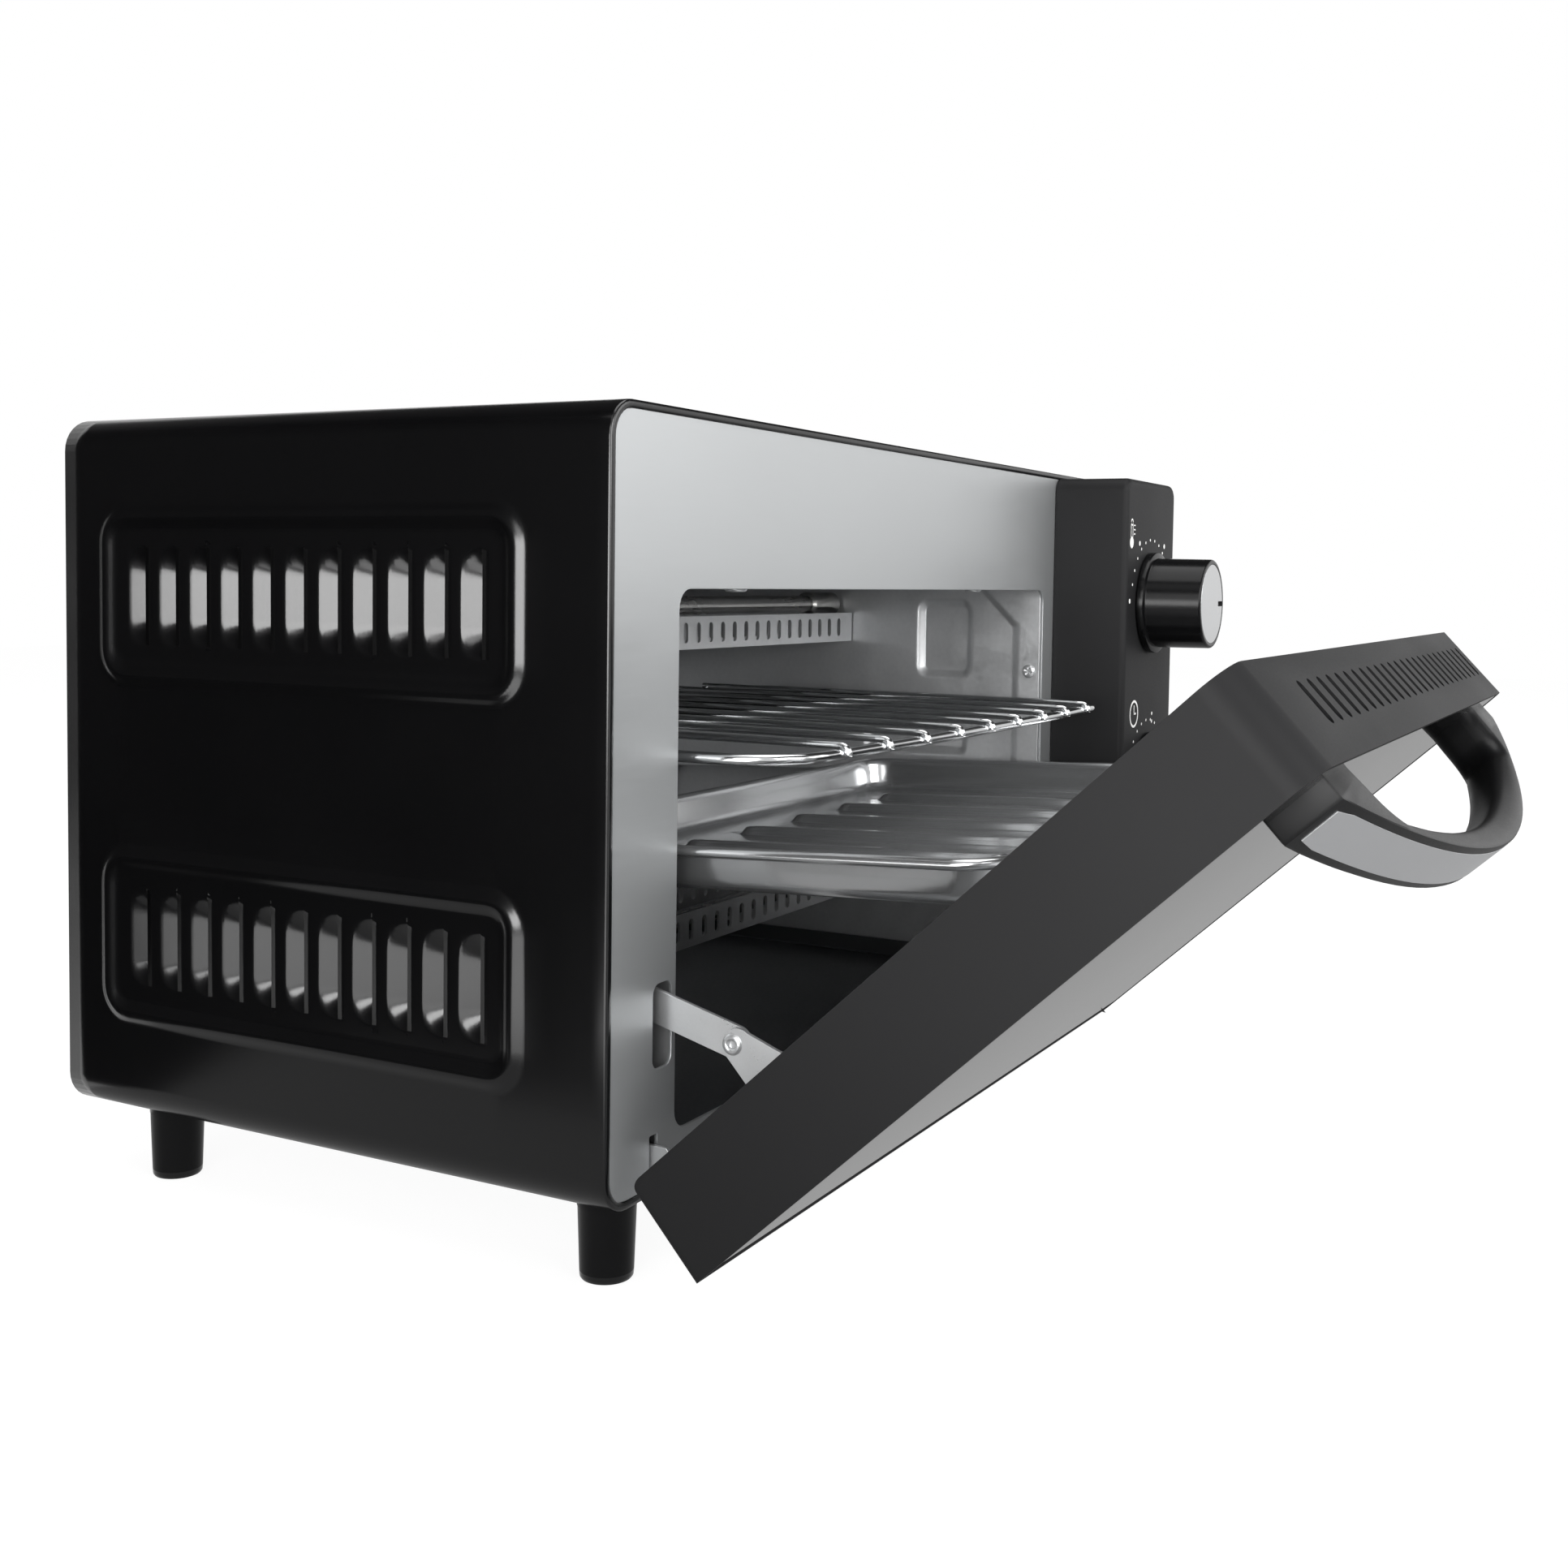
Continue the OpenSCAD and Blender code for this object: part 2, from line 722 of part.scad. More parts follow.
module insulator(y, z, x0) {
  difference() {
    bar_x(y, z, insulator_dia / 2, x0, x0 + insulator_len);
    bar_x(y, z, heater_dia / 2, x0 - eps, x0 + insulator_len + eps);
  }
}

module heater_insulators() {
  color("#e6e2d8")
    oven()
      for (spot = [[heater_upper_y, heater_upper_z], [heater_lower_y, heater_lower_z]]) {
        insulator(spot[0], spot[1], wall_l - cavity_t - insulator_len);
        insulator(spot[0], spot[1], wall_r + cavity_t);
      }
}

// Slotted strip across the cavity, in front of or behind a heater
module guard(y, z) {
  width = wall_r - wall_l;
  count = floor((width - 2 * guard_pitch) / guard_pitch);
  difference() {
    translate([wall_l, y - guard_t / 2, z - guard_h / 2])
      cube([width, guard_t, guard_h]);
    for (i = [0:count])
      translate([open_mid + (i - count / 2) * guard_pitch - guard_slot_w / 2,
                 y - guard_t, z - guard_slot_h / 2])
        cube([guard_slot_w, 2 * guard_t, guard_slot_h]);
  }
}

module guard_upper_front() {
  color("#a2a4a6")
    oven()
      guard(heater_upper_y - guard_front_off, guard_upper_z);
}

module guard_upper_rear() {
  color("#a2a4a6")
    oven()
      guard(heater_upper_y + guard_rear_off, guard_upper_z);
}

module guard_lower_front() {
  color("#a2a4a6")
    oven()
      guard(heater_lower_y - guard_front_off, guard_lower_front_z);
}

module guard_lower_rear() {
  color("#a2a4a6")
    oven()
      guard(heater_lower_y + guard_rear_off, guard_lower_rear_z);
}

panel_r = 5;

module control_panel() {
  mid = panel_l + panel_w / 2;
  color("#39393b")
    oven()
      difference() {
        deep(-panel_d, -rim_proud)
          translate([mid, panel_z])
            sheet_outline(panel_w, panel_h, panel_r, panel_r);
        deep(-panel_d + panel_t, eps)
          translate([mid, panel_z + panel_t])
            sheet_outline(panel_w - 2 * panel_t, panel_h - 2 * panel_t,
                          panel_r - panel_t, panel_r - panel_t);
        for (z = [temp_z, timer_z])
          bar_y(knob_x, z, shaft_dia / 2 + 1, -panel_d - eps, -panel_d + panel_t + eps);
      }
}

shaft_in = 12;

// Case of a rotary control behind the frame, with its nose through the frame
module control_case(z, w, d) {
  difference() {
    union() {
      translate([knob_x - w / 2, frame_t, z - w / 2])
        cube([w, d, w]);
      bar_y(knob_x, z, nose_dia / 2, -nose_len, frame_t + eps);
    }
    bar_y(knob_x, z, shaft_dia / 2 + run_gap, -nose_len - eps, frame_t + shaft_in + 1);
  }
}

module thermostat_body() {
  color("#5d5a52")
    oven()
      control_case(temp_z, thermostat_w, thermostat_d);
}

module timer_body() {
  color("#6b6d70")
    oven()
      control_case(timer_z, timer_w, timer_d);
}

module timer_bell() {
  y0 = frame_t + timer_d;
  color("#b7b9bb")
    oven()
      difference() {
        bar_y(knob_x, timer_z, bell_dia / 2, y0, y0 + bell_d);
        bar_y(knob_x, timer_z, bell_dia / 2 - 1, y0 - eps, y0 + bell_d - 1);
      }
}

terminal_size = [30, 16, 18];
terminal_gap = 11.5;

// Stands on the base in front of the rear foot's screw
module terminal_block() {
  color("#e4e0d4")
    oven()
      translate([knob_x - terminal_size[0] / 2, foot_rear_y - terminal_gap - terminal_size[1], pan_top])
        cube(terminal_size);
}

module cord_bushing() {
  neck_r = bushing_bore / 2 + 2;
  color("#1b1b1c")
    oven()
      difference() {
        union() {
          bar_y(knob_x, bushing_z, bushing_dia / 2, shell_d, shell_d + bushing_proud);
          bar_y(knob_x, bushing_z, neck_r, shell_d - 3 * back_t, shell_d + eps);
          bar_y(knob_x, bushing_z, neck_r + 1.5, shell_d - 3 * back_t, shell_d - back_t);
        }
        bar_y(knob_x, bushing_z, bushing_bore / 2, shell_d - 4 * back_t,
              shell_d + bushing_proud + eps);
      }
}

// Tapered foot with a recess for its screw
module foot(x, y) {
  color("#101011")
    oven()
      translate([x, y, -foot_h])
        difference() {
          cylinder(d1 = foot_sole_dia, d2 = foot_top_dia, h = foot_h, $fn = 64);
          translate([0, 0, -eps])
            cylinder(d = foot_bore_dia, h = foot_h - foot_web + eps);
          cylinder(r = screw_r, h = foot_h + eps);
        }
}

module foot_front_left() {
  foot(-foot_x, foot_front_y);
}

module foot_front_right() {
  foot(foot_x, foot_front_y);
}

module foot_rear_left() {
  foot(-foot_x, foot_rear_y);
}

module foot_rear_right() {
  foot(foot_x, foot_rear_y);
}

module foot_screws() {
  color("#9a9c9e")
    oven()
      for (s = [-1, 1], y = [foot_front_y, foot_rear_y])
        translate([s * foot_x, y, 0]) {
          translate([0, 0, -foot_web])
            cylinder(r = screw_r, h = foot_web + pan_top + 2);
          translate([0, 0, -foot_web - head_t])
            cylinder(r = head_r, h = head_t);
        }
}

roof_screw_left = 35;
roof_screw_right = 56;
wall_screw_drop = 31;

module cavity_screws() {
  color("#c4c6c8")
    oven() {
      for (x = [open_l + roof_screw_left, open_r - roof_screw_right])
        translate([x, cav_front + 4, roof_z - head_t])
          cylinder(r = head_r, h = head_t);
      for (x = [wall_l, wall_r - head_t])
        bar_x(cav_front + 4, roof_z - wall_screw_drop, head_r - 0.5, x, x + head_t);
    }
}

bracket_d = 12;

// Fixed bracket: a foot behind the frame and a tab through its slot to the hinge pin
module hinge_bracket(x) {
  tab_top = tab_slot_z[1] - 2.4;
  low = -pin_drop;
  difference() {
    wide(x - plate_t / 2, x + plate_t / 2)
      difference() {
        union() {
          translate([-pin_y, low])
            circle(d = eye_dia);
          polygon([
            [-pin_y - eye_dia / 2, low],
            [-pin_y, low - eye_dia / 2],
            [-rim_proud - 1, low - eye_dia / 2 + 1],
            [-rim_proud - 1, tab_slot_z[0] + 0.4],
            [frame_t + bracket_d, tab_slot_z[0] + 0.4],
            [frame_t + bracket_d, tab_top],
            [-4, tab_top],
            [-pin_y - 2, low + 3]
          ]);
        }
        translate([-pin_y, low])
          circle(d = pin_dia);
      }
  }
  difference() {
    translate([x - plate_t / 2 - 6, frame_t, tab_slot_z[0] + 0.4])
      cube([6, plate_t, tab_top - tab_slot_z[0] - 0.4]);
    translate([x - plate_t / 2 - 3, frame_t - eps, (tab_top + tab_slot_z[0]) / 2])
      rotate([-90, 0, 0])
        cylinder(r = 1, h = plate_t + 2 * eps);
  }
}

module hinge_bracket_left() {
  color("#b4b6b8")
    oven()
      hinge_bracket(out_x(-1, tab_out_left));
}

module hinge_bracket_right() {
  color("#b4b6b8")
    oven()
      translate([2 * out_x(1, right_tab_out), 0, 0])
        mirror([1, 0, 0])
          hinge_bracket(out_x(1, right_tab_out));
}

// Pins held in the fixed brackets, with a head outside each plate
module hinge_pins() {
  color("#d0d2d4")
    oven() {
      hinge_pin(out_x(-1, tab_out_left) - plate_t / 2, out_x(-1, leaf_out) + plate_t / 2);
      hinge_pin(out_x(1, right_tab_out) - plate_t / 2, out_x(1, leaf_out) + plate_t / 2);
    }
}

module hinge_pin(x0, x1) {
  bar_x(-pin_y, -pin_drop, pin_dia / 2, x0 - eps, x1 + hole_gap);
  bar_x(-pin_y, -pin_drop, pin_dia / 2 + 1, x0 - 0.8, x0);
  bar_x(-pin_y, -pin_drop, pin_dia / 2 + 1, x1 + hole_gap, x1 + hole_gap + 0.8);
}

// The door's parts are drawn shut and turned to the rest pose
module door_outline(inset) {
  translate([door_mid, door_z + inset])
    sheet_outline(door_w - 2 * inset, door_h - 2 * inset,
                  door_r - inset, max(door_low_r - inset, 0.2));
}

notch_d = 15;
notch_w = 7;
notch_h = 12;
leaf_slot_z = 18;
leaf_slot_h = 34;

// Middle of the cut in the door's bottom round the leaf and the fixed tab
function notch_x(side) = side < 0 ? open_l - (leaf_out + tab_out_left) / 2
                                  : open_r + (leaf_out + right_tab_out) / 2;

module door_shell() {
  color("#303032")
    door_at_rest()
      difference() {
        deep(-door_gap - door_d, -door_gap)
          door_outline(0);
        deep(-door_gap - door_d - eps, -door_gap + eps)
          door_outline(door_t);
        for (side = [-1, 1])
          translate([notch_x(side) - notch_w / 2, -door_gap - notch_d, door_z - eps])
            cube([side < 0 ? notch_w : min(notch_w, door_right - door_t - notch_x(side) + notch_w / 2),
                  notch_d + eps, door_t + 2 * eps]);
        for (i = [0:slot_count - 1])
          translate([open_mid + (i - (slot_count - 1) / 2) * slot_pitch - slot_w / 2,
                     -door_gap - slot_y - slot_len / 2, door_z + door_h - door_t - eps])
            cube([slot_w, slot_len, door_t + 2 * eps]);
      }
}

module door_front_glass() {
  color("#151618")
    door_at_rest()
      difference() {
        deep(-glass_front, -glass_back)
          door_outline(door_t);
        handle_screw_holes(-glass_front - eps, -glass_back + eps);
      }
}

module door_inner_panel() {
  color("#a9abad")
    door_at_rest()
      difference() {
        deep(-inner_front, -inner_front + inner_t)
          door_outline(door_t);
        translate([open_mid - window_w / 2, -inner_front - eps, door_z + window_z])
          cube([window_w, inner_t + 2 * eps, window_h]);
        for (side = [-1, 1]) {
          translate([notch_x(side) - notch_w / 2, -inner_front - eps, door_z])
            cube([notch_w - (side < 0 ? 0 : door_t), inner_t + 2 * eps, notch_h]);
          translate([out_x(side, leaf_out) - plate_t / 2 - hole_gap, -inner_front - eps,
                     door_z + leaf_slot_z])
            cube([plate_t + 2 * hole_gap, inner_t + 2 * eps, leaf_slot_h]);
        }
      }
}

module door_inner_glass() {
  color("#c6cbce")
    door_at_rest()
      translate([open_mid - window_w / 2 - inner_glass_lap, -inner_front - inner_glass_t,
                 door_z + window_z - inner_glass_lap])
        cube([window_w + 2 * inner_glass_lap, inner_glass_t, window_h + 2 * inner_glass_lap]);
}

// Lower and upper edges of the lobe that carries the stay, where it leaves the upright
lobe_low = 25;
lobe_edge = 31.4;
lobe_top = 51;

// Leaf: an upright inside the door, an eye below for the pin and a lobe for the stay
module hinge_leaf(side) {
  x = out_x(side, leaf_out);
  wide(x - plate_t / 2, x + plate_t / 2)
    difference() {
      union() {
        translate([-inner_front - leaf_w, door_z + door_t + hole_gap])
          square([leaf_w, leaf_top - door_t - hole_gap]);
        translate([-pin_y, -pin_drop])
          circle(d = eye_dia);
        polygon([
          [-inner_front - leaf_w, door_z + door_t + 8],
          [-pin_y - eye_dia / 2, -pin_drop],
          [-pin_y + eye_dia / 2, -pin_drop],
          [-inner_front + inner_t + 1.5, door_z + door_t + 3],
          [-inner_front, door_z + door_t + 8]
        ]);
        polygon([
          [-inner_front - 1, lobe_low],
          [-inner_front, lobe_low],
          [-2, lobe_edge],
          [rivet_y, lobe_edge],
          [rivet_y + 2, rivet_z + 3.8],
          [3.8, rivet_z + 8.8],
          [-inner_front, lobe_top],
          [-inner_front - 1, lobe_top]
        ]);
        translate([rivet_y - 1, rivet_z + 0.9])
          circle(r = 4.1);
      }
      translate([-pin_y, -pin_drop])
        circle(r = pin_dia / 2 + run_gap);
      translate([rivet_y, rivet_z])
        circle(d = rivet_dia);
    }
}

module door_hinge_left() {
  color("#b4b6b8")
    door_at_rest()
      hinge_leaf(-1);
}

module door_hinge_right() {
  color("#b4b6b8")
    door_at_rest()
      hinge_leaf(1);
}

// One rivet for each stay: through the leaf and the arm, with a head on both sides
module stay_rivets() {
  color("#cfd1d3")
    door_at_rest()
      for (side = [-1, 1]) {
        outer = out_x(side, leaf_out + plate_t / 2);
        inner = out_x(side, arm_out - plate_t / 2 - hole_gap);
        lo = min(outer, inner);
        hi = max(outer, inner);
        bar_x(rivet_y, rivet_z, rivet_dia / 2, lo, hi);
        bar_x(rivet_y, rivet_z, rivet_dia / 2 + 0.7, lo - (side < 0 ? 0.7 : 0.6), lo);
        bar_x(rivet_y, rivet_z, rivet_dia / 2 + 0.7, hi, hi + (side < 0 ? 0.6 : 0.2));
      }
}

// Stay arm: constant slope, from the rivet back into the gap beside the cavity
module stay_arm(side) {
  x = out_x(side, arm_out);
  oven()
    translate([0, -pin_y, -pin_drop])
      rotate([open_angle, 0, 0])
        translate([0, pin_y + rivet_y, pin_drop + rivet_z])
          rotate([-open_angle, 0, 0])
            wide(x - plate_t / 2, x + plate_t / 2)
              rotate(arm_slope)
                difference() {
                  union() {
                    circle(d = arm_w);
                    translate([0, -arm_w / 2])
                      square([arm_len, arm_w]);
                    translate([arm_len, 0])
                      circle(d = arm_w);
                  }
                  circle(r = rivet_dia / 2 + run_gap);
                  translate([arm_len, 0])
                    circle(d = rivet_dia);
                }
}

module stay_arm_left() {
  color("#bcbec0")
    stay_arm(-1);
}

module stay_arm_right() {
  color("#bcbec0")
    stay_arm(1);
}

// Plan of the handle: a bowed bar between two square legs on the glass
module handle_plan() {
  difference() {
    intersection() {
      translate([-handle_half, -handle_peak - 1])
        square([handle_len, handle_peak - glass_front + 1]);
      translate([0, handle_r - handle_peak])
        circle(r = handle_r, $fn = 180);
    }
    intersection() {
      translate([-hole_half, -handle_peak])
        square([2 * hole_half, handle_peak - glass_front + eps]);
      translate([0, hole_r - hole_peak])
        circle(r = hole_r, $fn = 180);
    }
  }
}

module trim_plan() {
  intersection() {
    difference() {
      translate([0, handle_r - handle_peak])
        circle(r = handle_r, $fn = 180);
      translate([0, handle_r - handle_peak])
        circle(r = handle_r - trim_t, $fn = 180);
    }
    translate([trim_end - handle_half, -handle_peak - 1])
      square([handle_len - 2 * trim_end, handle_bow + handle_end]);
  }
}

module trim_solid() {
  translate([door_mid, 0, door_z + handle_z + trim_edge])
    linear_extrude(height = handle_h - 2 * trim_edge)
      trim_plan();
}

module handle_bar() {
  color("#1c1c1e")
    door_at_rest()
      difference() {
        translate([door_mid, 0, door_z + handle_z])
          linear_extrude(height = handle_h)
            handle_plan();
        trim_solid();
      }
}

module handle_trim() {
  color("#b5b6b8")
    door_at_rest()
      trim_solid();
}

module handle_screw_holes(y0, y1) {
  for (s = [-1, 1])
    bar_y(door_mid + s * leg_screw_x, door_z + handle_z + handle_h / 2, screw_r, y0, y1);
}

module handle_screws() {
  color("#9a9c9e")
    door_at_rest()
      for (s = [-1, 1]) {
        x = door_mid + s * leg_screw_x;
        z = door_z + handle_z + handle_h / 2;
        bar_y(x, z, screw_r, -glass_front, -glass_back);
        bar_y(x, z, head_r, -glass_back, -glass_back + head_t);
      }
}

knob_back = panel_d + 0.6;
knob_front = knob_back + knob_len;

module knob(z) {
  difference() {
    union() {
      bar_y(knob_x, z, knob_flange_dia / 2, -knob_back - knob_flange_t, -knob_back);
      bar_y(knob_x, z, knob_dia / 2, -knob_front, -knob_back - knob_flange_t + eps);
    }
    bar_y(knob_x, z, cap_dia / 2, -knob_front - eps, -knob_front + cap_t);
    bar_y(knob_x, z, shaft_dia / 2, -knob_back - shaft_grip, -knob_back + eps);
  }
}

// Silver disc with a pointer notch at its right edge
module knob_cap(z) {
  difference() {
    bar_y(knob_x, z, cap_dia / 2, -knob_front, -knob_front + cap_t);
    translate([knob_x + cap_dia / 2 - 6, -knob_front - eps, z - 1])
      cube([7, cap_t + 2 * eps, 2]);
  }
}

module knob_shaft(z) {
  bar_y(knob_x, z, shaft_dia / 2, -knob_back - shaft_grip, frame_t + shaft_in);
}

module temp_knob() {
  color("#141415")
    oven()
      knob(temp_z);
}

module temp_cap() {
  color("#c2c3c5")
    oven()
      knob_cap(temp_z);
}

module temp_shaft() {
  color("#a8aaac")
    oven()
      knob_shaft(temp_z);
}

module timer_knob() {
  color("#141415")
    oven()
      knob(timer_z);
}

module timer_cap() {
  color("#c2c3c5")
    oven()
      knob_cap(timer_z);
}

module timer_shaft() {
  color("#a8aaac")
    oven()
      knob_shaft(timer_z);
}

rack_w = wall_r - wall_l - 2 * side_gap;
rack_cx = rack_w / 2 - rack_rim_dia / 2 - rack_r;
rack_y0 = -rack_out + rack_rim_dia / 2;
rack_y1 = rack_y0 + rack_len - rack_rim_dia;
rack_wires = floor((rack_w - 2 * rack_r) / rack_pitch) + 1;
weld = 0.3;

module rack_corner(x, y, turn) {
  translate([x, y, 0])
    rotate([0, 0, turn])
      rotate_extrude(angle = 90)
        translate([rack_r, 0])
          circle(d = rack_rim_dia, $fn = 24);
}

module wire_rack() {
  half = rack_cx + rack_r;
  lift = (rack_rim_dia + rack_wire_dia) / 2 - weld;
  color("#c8cacc")
    oven()
      translate([open_mid, 0, rack_z]) {
        rack_corner(rack_cx, rack_y1 - rack_r, 0);
        rack_corner(-rack_cx, rack_y1 - rack_r, 90);
        rack_corner(-rack_cx, rack_y0 + rack_r, 180);
        rack_corner(rack_cx, rack_y0 + rack_r, 270);
        for (s = [-1, 1])
          bar_y(s * half, 0, rack_rim_dia / 2, rack_y0 + rack_r, rack_y1 - rack_r);
        for (y = [rack_y0, rack_y1])
          bar_x(y, 0, rack_rim_dia / 2, -rack_cx, rack_cx);
        for (i = [0:rack_wires - 1])
          bar_y((i - (rack_wires - 1) / 2) * rack_pitch, lift, rack_wire_dia / 2,
                rack_y0 - 0.4, rack_y1 + 0.4);
      }
}

tray_w = wall_r - wall_l - 2 * side_gap;
tray_ribs = floor((tray_w - 2 * tray_r) / tray_rib_pitch);

// How far the tray's rim overhangs its body at the sides and at the ends
tray_over_side = ledge_w - side_gap + 1;
tray_over_end = tray_rim - 0.5;

module tray_outline(inset) {
  translate([0, tray_over_end + inset])
    sheet_outline(tray_w - 2 * tray_over_side - 2 * inset, tray_len - 2 * tray_over_end - 2 * inset,
                  tray_r - inset, tray_r - inset);
}

module baking_tray() {
  color("#b9bbbc")
    oven()
      translate([open_mid, tray_rear_y, tray_z])
        rotate([-tray_slope, 0, 0])
          translate([0, -tray_len, 0]) {
            difference() {
              union() {
                translate([0, 0, -tray_rim])
                  linear_extrude(height = tray_rim)
                    sheet_outline(tray_w, tray_len, tray_r, tray_r);
                translate([0, 0, -tray_d])
                  linear_extrude(height = tray_d - tray_rim / 2)
                    tray_outline(0);
              }
              translate([0, 0, tray_t - tray_d])
                linear_extrude(height = tray_d)
                  tray_outline(tray_t);
            }
            for (i = [0:tray_ribs - 1])
              translate([(i - (tray_ribs - 1) / 2) * tray_rib_pitch - tray_rib_w / 2,
                         2 * tray_r, tray_t - tray_d - eps])
                cube([tray_rib_w, tray_len - 4 * tray_r, tray_rib_h]);
          }
}

// Crumb tray on the base, drawn out through the back by its lip
module crumb_tray() {
  front = cav_front + 2;
  floor_z = pan_top + rest_gap;
  color("#4a4b4d")
    oven() {
      difference() {
        translate([crumb_l, front, floor_z])
          cube([crumb_w, shell_d + rest_gap - front + eps, crumb_h]);
        translate([crumb_l + tray_t, front + tray_t, floor_z + tray_t])
          cube([crumb_w - 2 * tray_t, shell_d + rest_gap - front - tray_t + 2 * eps, crumb_h]);
      }
      translate([crumb_l - crumb_gap, shell_d + rest_gap, floor_z])
        cube([crumb_w + 2 * crumb_gap, shell_t, crumb_lip_h]);
    }
}

outer_shell();
base_pan();
back_panel();
front_frame();
cavity_left_wall();
cavity_right_wall();
cavity_roof();
cavity_back();
heater_upper();
heater_lower();
heater_insulators();
guard_upper_front();
guard_upper_rear();
guard_lower_front();
guard_lower_rear();
control_panel();
thermostat_body();
timer_body();
timer_bell();
hinge_bracket_left();
hinge_bracket_right();
hinge_pins();
foot_front_left();
foot_front_right();
foot_rear_left();
foot_rear_right();
foot_screws();
cavity_screws();
back_screws();
terminal_block();
cord_bushing();
door_shell();
door_front_glass();
door_inner_panel();
door_inner_glass();
door_hinge_left();
door_hinge_right();
stay_rivets();
handle_bar();
handle_trim();
handle_screws();
stay_arm_left();
stay_arm_right();
temp_knob();
temp_cap();
temp_shaft();
timer_knob();
timer_cap();
timer_shaft();
wire_rack();
baking_tray();
crumb_tray();
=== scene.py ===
import json
import math

import bmesh
import bpy
from mathutils import Matrix, Vector


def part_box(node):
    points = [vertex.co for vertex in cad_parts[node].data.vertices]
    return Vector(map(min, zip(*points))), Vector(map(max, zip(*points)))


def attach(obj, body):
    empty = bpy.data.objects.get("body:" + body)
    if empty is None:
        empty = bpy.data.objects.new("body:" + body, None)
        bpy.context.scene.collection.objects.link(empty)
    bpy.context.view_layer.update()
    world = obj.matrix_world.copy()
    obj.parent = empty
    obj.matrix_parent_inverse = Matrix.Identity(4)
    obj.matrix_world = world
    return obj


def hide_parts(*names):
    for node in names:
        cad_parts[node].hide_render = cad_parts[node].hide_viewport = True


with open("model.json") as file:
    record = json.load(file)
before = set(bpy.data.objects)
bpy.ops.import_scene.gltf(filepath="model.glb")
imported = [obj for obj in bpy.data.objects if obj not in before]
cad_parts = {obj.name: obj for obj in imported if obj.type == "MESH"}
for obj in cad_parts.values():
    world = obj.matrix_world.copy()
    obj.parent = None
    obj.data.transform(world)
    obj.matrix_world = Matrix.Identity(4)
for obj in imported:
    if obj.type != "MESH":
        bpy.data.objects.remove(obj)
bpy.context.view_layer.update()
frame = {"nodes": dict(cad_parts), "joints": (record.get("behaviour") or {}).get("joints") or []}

# ---------------------------------------------------------------- outer shell
# The wrap-round case: one sheet of low-carbon steel, folded round the oven and powder
# coated satin black. Each side has two pressed bead frames with eleven louvres, which are
# lanced and pushed inwards, and the front edge is folded in as a narrow rim.

MM = 0.001
SHEET_LOW, SHEET_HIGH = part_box("outer_shell")
FACE_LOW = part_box("front_frame")[0]
BEAD_ROOM = 1.6  # how far the beads reach out of the side in the frame
SIDE = SHEET_HIGH.x / MM - BEAD_ROOM
SHELL_H = (SHEET_HIGH.z - SHEET_LOW.z) / MM
SHELL_D = (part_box("back_panel")[1].y - FACE_LOW.y) / MM
SHELL_R = 9
RIM_W = 2


def at(x, y, z):
    """Millimetres from the middle of the case, the steel front's face and the case's underside."""
    return Vector((x * MM, FACE_LOW.y + y * MM, SHEET_LOW.z + z * MM))


def linear(code):
    """The linear colour of an sRGB hex value."""
    parts = [int(code[i : i + 2], 16) / 255 for i in (0, 2, 4)]
    return [p / 12.92 if p <= 0.04045 else ((p + 0.055) / 1.055) ** 2.4 for p in parts] + [1.0]


def add(tree, kind, inputs=None, **settings):
    """Adds a node; each input is another node's output or a plain value."""
    node = tree.nodes.new(kind)
    for name, value in settings.items():
        setattr(node, name, value)
    for key, value in (inputs or {}).items():
        if isinstance(value, bpy.types.NodeSocket):
            tree.links.new(value, node.inputs[key])
        else:
            node.inputs[key].default_value = value
    return node


def finish(name, code, roughness, grain, metallic=0.0, ior=1.5, level=0.5, depth=0.0,
           spread=0.06, tone=0.08, stretch=(1, 1, 1), patch=60):
    """A finish with a grain and larger patches, both in millimetres.

    Roughness wanders by spread, colour by tone, and depth is the height of the grain.
    """
    material = bpy.data.materials.new(name)
    material.use_nodes = True
    tree = material.node_tree
    shader = tree.nodes["Principled BSDF"]
    shader.inputs["Metallic"].default_value = metallic
    if not metallic:
        shader.inputs["IOR"].default_value = ior
        shader.inputs["Specular IOR Level"].default_value = level
    spot = add(tree, "ShaderNodeTexCoord").outputs["Object"]
    scale = [s / (grain * MM) for s in stretch]
    fine = add(tree, "ShaderNodeMapping", {"Vector": spot, "Scale": scale})
    grains = add(tree, "ShaderNodeTexNoise", {"Vector": fine.outputs[0], "Scale": 1.0, "Detail": 2.0})
    patches = add(tree, "ShaderNodeTexNoise", {"Vector": spot, "Scale": 1 / (patch * MM), "Detail": 3.0})
    both = add(tree, "ShaderNodeMix", {"Factor": 0.5, "A": grains.outputs[0], "B": patches.outputs[0]})
    rough = add(tree, "ShaderNodeMapRange", {
        "Value": both.outputs[0], "From Min": 0.3, "From Max": 0.7,
        "To Min": roughness - spread, "To Max": roughness + spread})
    tree.links.new(rough.outputs[0], shader.inputs["Roughness"])
    colour = linear(code)
    darker = [c * (1 - tone) for c in colour[:3]] + [1.0]
    lighter = [min(c * (1 + tone), 1.0) for c in colour[:3]] + [1.0]
    tint = add(tree, "ShaderNodeMix", {0: both.outputs[0], 6: darker, 7: lighter}, data_type="RGBA")
    tree.links.new(tint.outputs[2], shader.inputs["Base Color"])
    if depth:
        bump = add(tree, "ShaderNodeBump", {
            "Strength": 0.6, "Distance": depth * MM, "Height": grains.outputs[0]})
        tree.links.new(bump.outputs[0], shader.inputs["Normal"])
    return material


def merged(shape, gap=0.02):
    """The shape with corners closer than gap millimetres made one."""
    bmesh.ops.remove_doubles(shape, verts=shape.verts, dist=gap * MM)
    return shape


